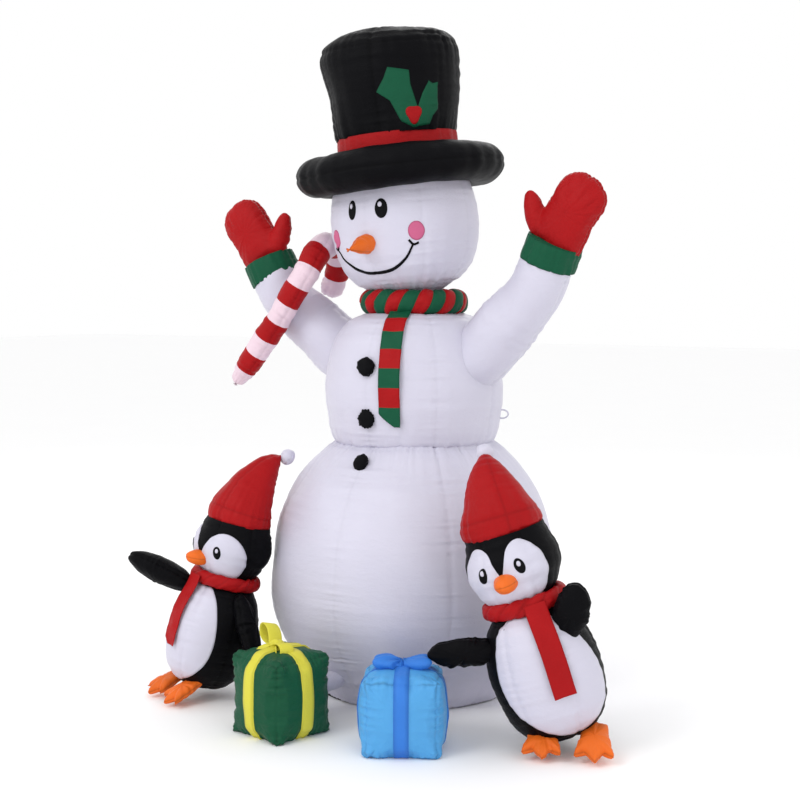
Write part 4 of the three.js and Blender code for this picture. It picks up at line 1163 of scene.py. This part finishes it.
def make_penguin_body(spec):
    name, seed, matrix = spec["name"], spec["seed"], leaning(spec)
    body = f"{name}_body"
    gored(body, PENGUIN_OUTLINE, matrix, "black_fabric", seed, PENGUIN_GORES, 30, rings=(0.492,),
          ends=(False, False), row=0.005, column=0.008, pull=0.003, pucker=0.0018, sag=0.003, caps=(True, False))
    middle, wide = spec["face"], spec["face_width"]
    drop = spec["face_drop"]
    face = [(middle + a * wide, z - drop) for a, z in both_sides(FACE_HALF)]
    patch(f"{name}_face", body, loop(face, 150, ON_PENGUIN), "white_fabric", 0.0026, 16)
    top, bottom = spec["belly"]
    belly = [(a + top + (bottom - top) * (0.45 - z) / 0.37, z) for a, z in both_sides(BELLY_HALF)]
    patch(f"{name}_belly", body, loop(belly, 190, ON_PENGUIN), "white_fabric", 0.0026, 26)
    for side, flip in (("right", -1), ("left", 1)):
        at = middle + flip * 23.6 * wide
        height = (0.623 if side == "left" else 0.619) - drop
        patch(f"{name}_{side}_eye", body, oval(at, height, 6.2, 0.0245, -flip * 1.2), "black_fabric", 0.0042,
              6, APPLIQUE_BLACK)
        patch(f"{name}_{side}_eye_light", body, oval(at - 0.6, height + 0.008, 2.4, 0.0085),
              "white_fabric", 0.0056, 3)


def make_penguin_hat(spec):
    name, seed, matrix = spec["name"], spec["seed"], leaning(spec)
    rise, droop = HAT_RISE * spec["hat"], HAT_DROOP * spec["hat"]
    bottom = PENGUIN_OUTLINE[-1][1] - 0.004
    t = np.linspace(0, 1, 110)[:, None]
    knots = np.array([(0, 0, bottom), (0, 0, bottom + rise * 0.35), (0, droop * 0.3, bottom + rise * 0.7),
                      (0, droop, bottom + rise)])
    path = (knots[0] * (1 - t) ** 3 + 3 * knots[1] * t * (1 - t) ** 2 + 3 * knots[2] * t ** 2 * (1 - t)
            + knots[3] * t ** 3)
    path = even(path, 110)
    length = float(np.linalg.norm(np.diff(path, axis=0), axis=1).sum())
    walked = np.linspace(0, length, 110)
    steps = [0, 0.005, 0.012, 0.038, 0.046, 0.054, 0.5 * length, 0.8 * length, 0.95 * length, length]
    radii = np.interp(walked, steps, [0.125, 0.1285, 0.1300, 0.130, 0.1275, 0.126, 0.090, 0.052, 0.024, 0.006])
    radii = np.convolve(np.pad(radii, 2, "edge"), np.ones(5) / 5, "valid")
    hat = tube(f"{name}_hat_skin", path, radii, "red_fabric", seed + 3, 110, up=(0, -1, 0),
               seams=(0.35, 0.35 + 2 * math.pi / 3, 0.35 + 4 * math.pi / 3), ends=(True, False), pull=0.0022,
               pucker=0.0018, sag=0.0035, caps=(False, True), stands_for=(f"{name}_hat",), matrix=matrix,
               rings=(0.047,))
    tip = path[-1] + np.array([0, 0.030, 0])
    pom = matrix @ frame_of(tip, (0, 0.35, 1), (0, 1, 0))
    blob(f"{name}_pompom", pom, (0.029, 0.030, 0.034), "white_fabric", seed + 5, 0.0012)


def make_penguin_beak(spec):
    turn, height = spec["beak"]
    ahead = frame_of((0, -0.140, height), (0, -1, -0.06), (0, 0, 1))
    matrix = leaning(spec) @ rotation((0, 0, 1), turn) @ ahead
    blob(f"{spec['name']}_beak", matrix, (0.037, 0.031, 0.062), "orange_fabric", spec["seed"] + 7, 0.0014)


def make_penguin_scarf(spec):
    name, seed, size, matrix = spec["name"], spec["seed"], spec["size"], leaning(spec)
    scarf_ring(f"{name}_scarf_ring", matrix, 0.119, 0.021, 0.027, 0.490, seed + 9, 12,
               [MATERIALS["red_fabric"]])
    t = math.radians(spec["tail_angle"])
    rows = 64
    profile = spline(PENGUIN_TAIL, rows)
    line = np.stack([profile[:, 0] * math.sin(t), -profile[:, 0] * math.cos(t), profile[:, 1]], axis=1)
    line = moved(matrix, line)
    across = unit(matrix[:3, :3] @ np.array([math.cos(t), math.sin(t), 0]))
    half = PENGUIN_TAIL_WIDTH / 2 * size
    share = np.linspace(0, 1, rows)
    slant = 0.030 * size * np.clip((share - 0.93) / 0.07, 0, 1) if name == "right_penguin" else np.zeros(rows)
    offsets = 0.0018 * np.sin(share * math.pi * 3 + 0.9) * np.clip(share * 4, 0, 1)
    widths = slant - half, np.full(rows, half)
    piece = cloth_strip(f"{name}_scarf_tail_cloth", line, across, widths, offsets,
                        "red_fabric", f"{name}_scarf_tail_body", (f"{name}_scarf_tail",), lambda k: 0,
                        [MATERIALS["red_fabric"]], seed + 11)


def aimed(place, way):
    """A matrix that turns Z straight towards way."""
    way = unit(way)
    axis = np.cross((0, 0, 1), way)
    m = rotation(axis, math.degrees(math.acos(way[2])))
    m[:3, 3] = place
    return m


def make_flippers(spec):
    for number, side in enumerate(("outer", "inner")):
        way, half = spec[side]
        node = f"{spec['name']}_{side}_flipper"
        low, high = (np.array(v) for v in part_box(node))
        stand = rotation((0, 0, 1), spec["heading"])
        middle = stand[:3, :3].T @ ((low + high) / 2)
        matrix = stand @ aimed(middle, way)
        seam_frame = matrix if half[1] < half[0] else matrix @ rotation((0, 0, 1), 90)
        stuffed(node, ellipsoid(matrix, half), "black_fabric", seam_frame, flat_seam(0.07),
                spec["seed"] + 13 + number, 0.006, 0.006, 0.7)


FOOT_OUTLINE = [(-0.034, 0.070), (0.0, 0.078), (0.034, 0.070), (0.046, 0.010), (0.057, -0.050), (0.028, -0.036),
                (0.002, -0.072), (-0.026, -0.036), (-0.057, -0.050), (-0.046, 0.010)]
FOOT_HEIGHT = 0.044
FOOT_TILT = 0.42


def pad_form(matrix, outline, height):
    """A closed pad over a flat outline, thickest in its middle."""
    outline = np.asarray(outline)
    middle = outline.mean(axis=0)
    shares = np.linspace(0, 1, 12)[1:]
    rows = []
    for sign in (-1, 1):
        layer = []
        for share in shares:
            flat = middle + (outline - middle) * share
            rise = 0.5 + sign * 0.5 * (1 - share ** 3) ** 0.6
            layer.append(np.column_stack([flat, np.full(len(outline), height * rise)]))
        rows += layer if sign < 0 else layer[-2::-1]
    points, faces = closed_form(np.array(rows))
    return moved(matrix, points), faces


def make_feet(spec):
    size = spec["size"]
    for number, side in enumerate(("left", "right")):
        flip = 1 if side == "left" else -1
        matrix = standing(spec) @ shift(flip * 0.080 * size, -0.098 * size, 0, size * 1.12)
        tilt = np.eye(4)
        tilt[2, 1:] = FOOT_TILT, 0.85, 0.072 * FOOT_TILT
        seam_frame = matrix @ tilt @ shift(0, 0, FOOT_HEIGHT / 2) @ rotation((1, 0, 0), 90)
        pad = pad_form(matrix @ tilt, polygon(FOOT_OUTLINE, 120), FOOT_HEIGHT)
        stuffed(f"{spec['name']}_{side}_foot", pad, "orange_fabric", seam_frame, flat_seam(0.06),
                spec["seed"] + 17 + number, 0.002, 0.0035, 0.5, 0.0018, 0.0016, 2)


# ---------------------------------------------------------------- gifts and ducts

GIFTS = [
    {"name": "right_gift", "place": (-0.068, -0.732), "heading": -14, "size": (0.226, 0.226, 0.258),
     "bulge": 0.016, "box": "gift_green_fabric", "ribbon": "yellow_fabric", "seed": 161},
    {"name": "left_gift", "place": (0.362, -0.669), "heading": 29, "size": (0.226, 0.226, 0.238),
     "bulge": 0.020, "box": "gift_blue_fabric", "ribbon": "ribbon_blue_fabric", "seed": 171},
]
RIBBON_HALF = 0.0240
RIBBON_LIFT = 0.0040
DUCT_RADIUS = 0.032
DUCT_HEIGHT = 0.110
DUCT_LINES = {
    "right_gift_duct": ((-0.052, -0.395), (-0.066, -0.665)),
    "left_gift_duct": ((0.200, -0.365), (0.340, -0.612)),
    "right_penguin_duct": ((-0.285, -0.265), (-0.492, -0.456)),
    "left_penguin_duct": ((0.385, -0.010), (0.775, -0.335)),
}


def gift_frame(spec):
    return shift(*spec["place"], 0) @ rotation((0, 0, 1), spec["heading"])


def make_gift_box(spec):
    half = np.array(spec["size"]) / 2
    matrix = gift_frame(spec) @ shift(0, 0, half[2])
    cushion = cushion_box(matrix, half, spec["bulge"])
    stuffed(f"{spec['name']}_box", cushion, spec["box"], matrix, edge_seam(half), spec["seed"], 0.008, 0.007,
            0.8, 0.0035, 0.0034)


def make_ribbons(spec):
    """Two ribbons that cross on the top and bottom of a blown-up box."""
    skin = SKINS[f"{spec['name']}_box"]
    matrix = gift_frame(spec)
    height = spec["size"][2] / 2
    shares = (-1, -0.9, -0.4, 0, 0.4, 0.9, 1)
    places_across = [(share, RIBBON_LIFT if abs(share) < 1 else -0.0008) for share in shares]
    angle = np.arange(180) * 2 * math.pi / 180
    for number, turned in enumerate((0, 90)):
        ring = matrix @ rotation((0, 0, 1), turned)
        grid = []
        for share, lift in places_across:
            start = Vector(moved(ring, np.array([0, share * RIBBON_HALF, height])))
            row = []
            for a in angle:
                way = Vector(ring[:3, :3] @ np.array([math.cos(a), 0, math.sin(a)]))
                place, normal, _, _ = skin.ray_cast(start, way)
                row.append(np.array(place + normal * (lift + 0.0006 * number)))
            grid.append(row)
        grid = np.array(grid)
        grid[..., 2] = np.maximum(grid[..., 2], FLOOR_GAP / 2)
        near = np.zeros(grid.shape[:2])
        near[[1, -2]] = 0.5
        faces = lattice(len(grid), len(angle))[:, ::-1]
        show(f"{spec['name']}_ribbon_{number + 1}", grid.reshape(-1, 3), faces, spec["ribbon"],
             near.reshape(-1))


def ribbon_loop(name, matrix, reach, rise, width, slot, turn):
    """One loop of a bow: out from the knot, over and back."""
    t = np.linspace(0, 2 * math.pi, 60)
    x = reach * (1 - np.cos(t)) / 2
    z = rise * np.sin(t) * np.sin(t / 2)
    path = np.stack([x, 0.0012 * np.sin(t * 3), z], axis=1)
    loop_frame = matrix @ rotation((0, 0, 1), turn)
    across = unit(loop_frame[:3, :3] @ np.array([0.15, 1, 0]))
    strap(name, moved(loop_frame, path), across, width, 0.0045, slot)


def make_yellow_bow(spec):
    matrix = gift_frame(spec) @ shift(-0.012, -0.010, spec["size"][2] + spec["bulge"] + 0.010)
    slot, name = spec["ribbon"], spec["name"]
    knot = frame_of((0, 0, 0.006), (1, 0.1, 0), (0, 0, 1))
    blob(f"{name}_bow", matrix @ knot, (0.025, 0.019, 0.026), slot, spec["seed"] + 3, 0.002)
    ribbon_loop(f"{name}_bow_left_loop", matrix @ rotation((0, 1, 0), 38), 0.092, 0.030, 0.048, slot, 168)
    ribbon_loop(f"{name}_bow_right_loop", matrix @ rotation((0, 1, 0), 6), 0.074, 0.030, 0.046, slot, -12)
    for number, (end, turn) in enumerate((((-0.030, -0.048, -0.012), 25), ((0.040, -0.036, -0.010), -30))):
        path = spline([(0, 0, 0.002), (end[0] * 0.5, end[1] * 0.5, 0.006), end], 24)
        across = matrix[:3, :3] @ rotation((0, 0, 1), turn)[:3, :3] @ np.array([1, 0, 0])
        strap(f"{name}_bow_tail_{number + 1}", moved(matrix, path), across, 0.030, 0.003, slot)


def make_blue_bow(spec):
    top = spec["size"][2] + spec["bulge"]
    matrix = gift_frame(spec) @ shift(0, 0, top + 0.012) @ rotation((0, 0, 1), 2)
    lobes = []
    for turn in (14, -20):
        for flip in (-1, 1):
            place = rotation((0, 0, 1), turn) @ shift(flip * 0.050, 0, 0.006) @ rotation((0, 1, 0), -flip * 10)
            lobes.append(ellipsoid(matrix @ place, (0.046, 0.031, 0.018)))
    lobes.append(ellipsoid(matrix, (0.022, 0.024, 0.017)))

    def pleats(local):
        return np.hypot(local[:, 0], local[:, 1]) * 0.55, np.arctan2(local[:, 1], local[:, 0]) * 0.060
    stuffed(f"{spec['name']}_bow", joined(*lobes), spec["ribbon"], matrix, pleats, spec["seed"] + 3, 0.005,
            0.004, 0.6, 0.003, 0.0042)


def make_ducts():
    for number, (node, (start, end)) in enumerate(DUCT_LINES.items()):
        path = np.linspace([*start, DUCT_HEIGHT], [*end, DUCT_HEIGHT], 50)
        path[:, 2] -= 0.006 * np.sin(np.linspace(0, math.pi, 50))
        tube(f"{node}_skin", path, [DUCT_RADIUS] * 2, "white_fabric", 181 + number, 44, seams=(math.pi,),
             pull=0.002, pucker=0.002, stands_for=(node,))


# ---------------------------------------------------------------- base, fan, lamp and zip

FAN_HEIGHT = 0.092
FAN_CENTRE = (0, 0, FAN_HEIGHT)


def turned_form(profile, around=96, closed=True):
    """A form turned about the fan's axis from (radius, y) points: a ring if closed, or with flat ends."""
    profile = np.asarray(profile, float)
    profile = profile if closed else profile[::-1]
    a = np.arange(around) * 2 * math.pi / around
    grid = np.stack([profile[:, 0, None] * np.cos(a), profile[:, 1, None] * np.ones_like(a),
                     profile[:, 0, None] * np.sin(a)], axis=-1) + np.array(FAN_CENTRE)
    faces = lattice(len(profile), around, close=closed)
    points, faces, _ = capped(grid, faces, np.zeros(grid.shape[:2]), not closed, not closed)
    return points, faces


def rounded(corners, radius, steps=4):
    """A closed section with its corners rounded."""
    p = np.asarray(corners, float)
    out = []
    for before, corner, after in zip(np.roll(p, 1, axis=0), p, np.roll(p, -1, axis=0)):
        r = min(radius, np.linalg.norm(before - corner) * 0.45, np.linalg.norm(after - corner) * 0.45)
        a, b = corner + unit(before - corner) * r, corner + unit(after - corner) * r
        for t in np.linspace(0, 1, steps):
            out.append(a * (1 - t) ** 2 + corner * 2 * t * (1 - t) + b * t ** 2)
    return np.array(out)


def slab(low, high, radius=0.002):
    """A box with rounded upright edges and softened rims: (points, faces)."""
    (x0, y0, z0), (x1, y1, z1) = low, high
    section = rounded([(x0, y0), (x1, y0), (x1, y1), (x0, y1)], radius * 2, 6)
    middle = section.mean(axis=0)
    span = np.array([x1 - x0, y1 - y0])
    rows = []
    for z, inset in ((z0, radius), (z0 + radius * 0.4, radius * 0.3), (z0 + radius, 0), (z1 - radius, 0),
                     (z1 - radius * 0.4, radius * 0.3), (z1, radius)):
        flat = middle + (section - middle) * (1 - 2 * inset / span)
        rows.append(np.column_stack([flat, np.full(len(flat), z)]))
    return closed_form(np.array(rows))


def ring_section(inner, outer, back, front, radius=0.0012):
    return rounded([(inner, back), (inner, front), (outer, front), (outer, back)], radius)


def rod_form(start, end, radius, around=16):
    """A round rod between two points, with chamfered ends."""
    start, end = np.asarray(start, float), np.asarray(end, float)
    long_way = end - start
    thin = (0, 1, 0) if abs(unit(long_way)[1]) < 0.9 else (1, 0, 0)
    length = float(np.linalg.norm(long_way))
    chamfer = radius * 0.4
    outline = [(radius * 0.7, 0), (radius, chamfer), (radius, length - chamfer), (radius * 0.7, length)]
    points, faces = closed_form(turned(outline, around))
    return moved(frame_of(start, long_way, thin), points), faces


def make_base():
    """The coated panel under the belly, with a folded and stitched hem."""
    a = np.arange(144) * 2 * math.pi / 144
    profile = [(0.05, 0.0006), (0.20, 0.0006), (0.335, 0.0006), (0.350, 0.0004), (0.3555, 0.0016),
               (0.352, 0.0030), (0.336, 0.0032), (0.334, 0.0024), (0.20, 0.0024), (0.05, 0.0024)]
    wave = 0.0004 * np.sin(a * 23) + 0.0003 * np.sin(a * 41)
    grid = np.array([np.column_stack([r * np.sin(a), -r * np.cos(a), z + 0.5 * wave * (r > 0.3) + 0.0004])
                     for r, z in profile])
    near = np.zeros(grid.shape[:2])
    near[[2, 6]] = 0.6
    points, faces, near = capped(grid, lattice(len(profile), len(a)), near, True, True)
    piece = show("base_panel_cloth", points, faces, "base_fabric", near, stands_for=("base_panel",))


def make_blower():
    parts = [turned_form(ring_section(0.068, 0.072, 0.346, 0.488)),
             turned_form(ring_section(0.068, 0.084, 0.476, 0.488, 0.003)),
             turned_form(ring_section(0.0243, 0.028, 0.350, 0.380)),
             turned_form(ring_section(0.071, 0.0745, 0.468, 0.476, 0.001))]
    for number in range(3):
        t = number * 2 * math.pi / 3 + 0.5
        for y in (0.353, 0.361):
            ends = [(r * math.cos(t), y, FAN_HEIGHT + r * math.sin(t)) for r in (0.0265, 0.0695)]
            parts.append(rod_form(*ends, 0.0034))
    parts.append(slab((-0.045, 0.468, 0.0005), (0.045, 0.488, 0.022), 0.003))
    for side in (-1, 1):
        parts.append(slab((side * 0.060 - 0.006, 0.4765, FAN_HEIGHT - 0.006),
                          (side * 0.060 + 0.006, 0.4875, FAN_HEIGHT + 0.006), 0.001))
        parts.append(rod_form((side * 0.036, 0.480, 0.018), (side * 0.036, 0.480, 0.034), 0.0045))
    points, faces = joined(*parts)
    show("blower_housing_moulding", points, faces, "black_plastic", stands_for=("blower_housing",))
    grille = [turned_form(ring_section(r, r + 0.0034, 0.4884, 0.4922, 0.001))
              for r in (0.0765, 0.0600, 0.0440, 0.0280)]
    boss = [(0.0155, 0.4884), (0.0160, 0.4900), (0.0150, 0.4920), (0.0060, 0.4928)]
    grille.append(turned_form(boss, closed=False))
    for number in range(6):
        t = number * math.pi / 3
        ends = [(r * math.cos(t), 0.4902, FAN_HEIGHT + r * math.sin(t)) for r in (0.012, 0.0785)]
        grille.append(rod_form(*ends, 0.0018))
    points, faces = joined(*grille)
    show("blower_grille_moulding", points, faces, "black_plastic", stands_for=("blower_grille",))


def make_impeller():
    hub = [(0.004, 0.4015), (0.019, 0.4020), (0.0218, 0.4045), (0.0220, 0.4240), (0.0195, 0.4268),
           (0.010, 0.4290), (0.003, 0.4295)]
    parts = [turned_form(hub, closed=False),
             rod_form((0, 0.392, FAN_HEIGHT), (0, 0.403, FAN_HEIGHT), 0.0029)]
    rows, columns = 14, 9
    reach = np.linspace(0.0195, 0.0635, rows)[:, None]
    chord = np.linspace(-1, 1, columns)[None, :]
    for number in range(7):
        wide = chord * (0.30 + 0.35 * (0.0635 - reach) / 0.044) * 0.55
        turn = number * 2 * math.pi / 7 + wide + (reach - 0.02) * 4
        depth = 0.414 - chord * 0.0095 + 0.0015 * (1 - chord ** 2)
        across, up = reach * np.cos(turn), FAN_HEIGHT + reach * np.sin(turn)
        front, back = (np.stack([across, np.broadcast_to(depth + side * 0.0009, turn.shape), up], axis=-1)
                       for side in (-1, 1))
        parts.append(closed_form(np.concatenate([back, front[:, ::-1]], axis=1)))
    points, faces = joined(*parts)
    show("blower_impeller_moulding", points, faces, "grey_plastic", body="blower_impeller_body",
         stands_for=("blower_impeller",))


def make_motor_and_collar():
    can = [(0.006, 0.3475), (0.020, 0.3478), (0.0236, 0.3500), (0.0238, 0.3560), (0.0232, 0.3566),
           (0.0238, 0.3572), (0.0238, 0.3900), (0.0232, 0.3906), (0.0238, 0.3912), (0.0236, 0.3960),
           (0.0205, 0.3980), (0.0075, 0.3982)]
    points, faces = turned_form(can, closed=False)
    show("blower_motor_can", points, faces, "motor_steel", stands_for=("blower_motor",))
    path = np.linspace((0, 0.370, FAN_HEIGHT), (0, 0.467, FAN_HEIGHT), 46)
    radii = [0.0760, 0.0765, 0.0785, 0.0770, 0.0748, 0.0755]
    tube("blower_collar_skin", path, radii, "white_fabric", 201, 130, seams=(math.pi,), pull=0.0014,
         pucker=0.0016, sag=0.0012, stands_for=("blower_collar",), rings=(0.082,))
    a = np.linspace(0, 2 * math.pi, 73)
    tie = np.stack([0.0772 * np.cos(a), np.full(73, 0.452) + 0.0008 * np.sin(a * 3),
                    FAN_HEIGHT + 0.0772 * np.sin(a)], axis=1)
    strap("collar_band", tie, (0, 1, 0), 0.009, 0.0018, "white_fabric", near=0.3)


def make_inlet_and_lamp():
    y, z = 0.478, 0.011
    body = [(0.0069, 0.0455), (0.0071, 0.0470), (0.0071, 0.0570), (0.0066, 0.0590), (0.0044, 0.0592),
            (0.0040, 0.0570), (0.0040, 0.0500), (0.0010, 0.0495)]
    a = np.arange(40) * 2 * math.pi / 40
    rings = [np.column_stack([np.full(40, x), y + r * np.cos(a), z + r * np.sin(a)]) for r, x in body]
    pin = rod_form((0.050, y, z), (0.0565, y, z), 0.0011)
    points, faces = joined(closed_form(np.array(rings)), pin)
    show("power_inlet_moulding", points, faces, "black_plastic", stands_for=("power_inlet",))
    outline = [(0.002, 0.0034), (0.033, 0.0034), (0.034, 0.0050), (0.034, 0.0135), (0.0325, 0.0152),
               (0.0275, 0.0156), (0.0260, 0.0190), (0.0235, 0.0300), (0.0160, 0.0400), (0.0060, 0.0440),
               (0.0006, 0.0442)]
    a = np.arange(72) * 2 * math.pi / 72
    profile = np.array(outline)
    radius = profile[:, 0, None] * (1 + 0.012 * np.cos(a * 12) * (profile[:, 1, None] > 0.018))
    height = profile[:, 1, None] * np.ones_like(a)
    points, faces = closed_form(np.stack([radius * np.cos(a), radius * np.sin(a), height], axis=-1))
    show("led_lamp_moulding", points, faces, "lamp_plastic", stands_for=("led_lamp",))


ZIP_FACE = 0.527
ZIP_BOTTOM, ZIP_TOP = 0.330, 0.520
ZIP_WIDTH = 0.030
TOOTH_PITCH = 0.0036
SLIDER_HEIGHT = 0.500


def make_zip():
    rows = 60
    z = np.linspace(ZIP_BOTTOM - 0.004, ZIP_TOP + 0.004, rows)
    flare = 0.5 * ZIP_WIDTH + 0.0016 * np.sin(z * 140)
    places_across = np.array([(-1.0, -0.016), (-0.98, -0.006), (-0.9, -0.0012), (-0.5, -0.0004), (-0.16, 0.0),
                              (0.16, 0.0), (0.5, -0.0004), (0.9, -0.0012), (0.98, -0.006), (1.0, -0.016)])
    grid = np.stack([np.outer(flare, places_across[:, 0]),
                     ZIP_FACE - 0.0006 + np.tile(places_across[:, 1], (rows, 1)),
                     np.tile(z[:, None], (1, len(places_across)))], axis=-1)
    back = grid[:, ::-1] - [0, 0.0012, 0]
    both = np.concatenate([grid[:, ::-1], back[:, ::-1]], axis=1)
    near = np.zeros(both.shape[:2])
    near[:, [2, 7, 12, 17]] = 0.7
    points, faces, near = capped(both, lattice(rows, both.shape[1]), near, True, True)
    show("zip_tape_cloth", points, faces, "white_fabric", near, stands_for=("zip_tape",))
    teeth = []
    for number in range(int((ZIP_TOP - ZIP_BOTTOM) / TOOTH_PITCH)):
        side = 1 if number % 2 else -1
        low = np.array([side * 0.0011 - 0.0019, ZIP_FACE - 0.0012, ZIP_BOTTOM + number * TOOTH_PITCH + 0.0006])
        teeth.append(slab(low, low + [0.0038, 0.0016, 0.0024], 0.0003))
    points, faces = joined(*teeth)
    show("zip_teeth", points, faces, "zip_metal")
    y = ZIP_FACE + 0.0003
    h = SLIDER_HEIGHT
    slider = [slab((-0.0078, y, h - 0.0100), (0.0078, y + 0.0022, h + 0.0100), 0.0009),
              slab((-0.0062, y + 0.0018, h - 0.0085), (0.0062, y + 0.0060, h + 0.0090), 0.0014)]
    for side in (-1, 1):
        slider.append(slab((side * 0.006 - 0.0012, y + 0.0050, h - 0.003),
                           (side * 0.006 + 0.0012, y + 0.0128, h + 0.006), 0.0008))
    points, faces = joined(*slider)
    show("zip_slider_body_metal", points, faces, "zip_metal", body="zip_slider_body",
         stands_for=("zip_slider",))
    pin = np.array([0, 0.5373, 0.502])
    a = np.linspace(0, 2 * math.pi, 41)
    oval_line = np.stack([0.0029 * np.cos(a), np.full(41, 0.0), -0.0245 + 0.0042 * np.sin(a)], axis=1)
    pull = [rod_form(pin - [0.0068, 0, 0], pin + [0.0068, 0, 0], 0.0009),
            slab(pin + [-0.0042, -0.0009, -0.0205], pin + [0.0042, 0.0009, 0.0024], 0.0006)]
    wire = oval_line * [1.25, 1, 1.25] + [0, 0, -0.0020]
    for first, last in zip(wire, wire[1:]):
        pull.append(rod_form(pin + first, pin + last, 0.0009, 8))
    points, faces = joined(*pull)
    show("zip_pull_metal", points, faces, "zip_metal", body="zip_pull_body", stands_for=("zip_pull",))


# ---------------------------------------------------------------- everything

make_camera()
make_studio()
make_shells()
make_face()
make_nose()
make_hat()
make_holly()
make_arm("left", 41)
make_arm("right", 51)
make_cane()
make_scarf()
make_scarf_tail()
make_buttons()
make_tether_loops()
for spec in PENGUINS:
    make_penguin_body(spec)
    make_penguin_hat(spec)
    make_penguin_beak(spec)
    make_penguin_scarf(spec)
    make_flippers(spec)
    make_feet(spec)
for spec in GIFTS:
    make_gift_box(spec)
make_yellow_bow(GIFTS[0])
make_blue_bow(GIFTS[1])
make_ducts()
make_base()
make_blower()
make_impeller()
make_motor_and_collar()
make_inlet_and_lamp()
make_zip()
blow_up()
for spec in GIFTS:
    make_ribbons(spec)
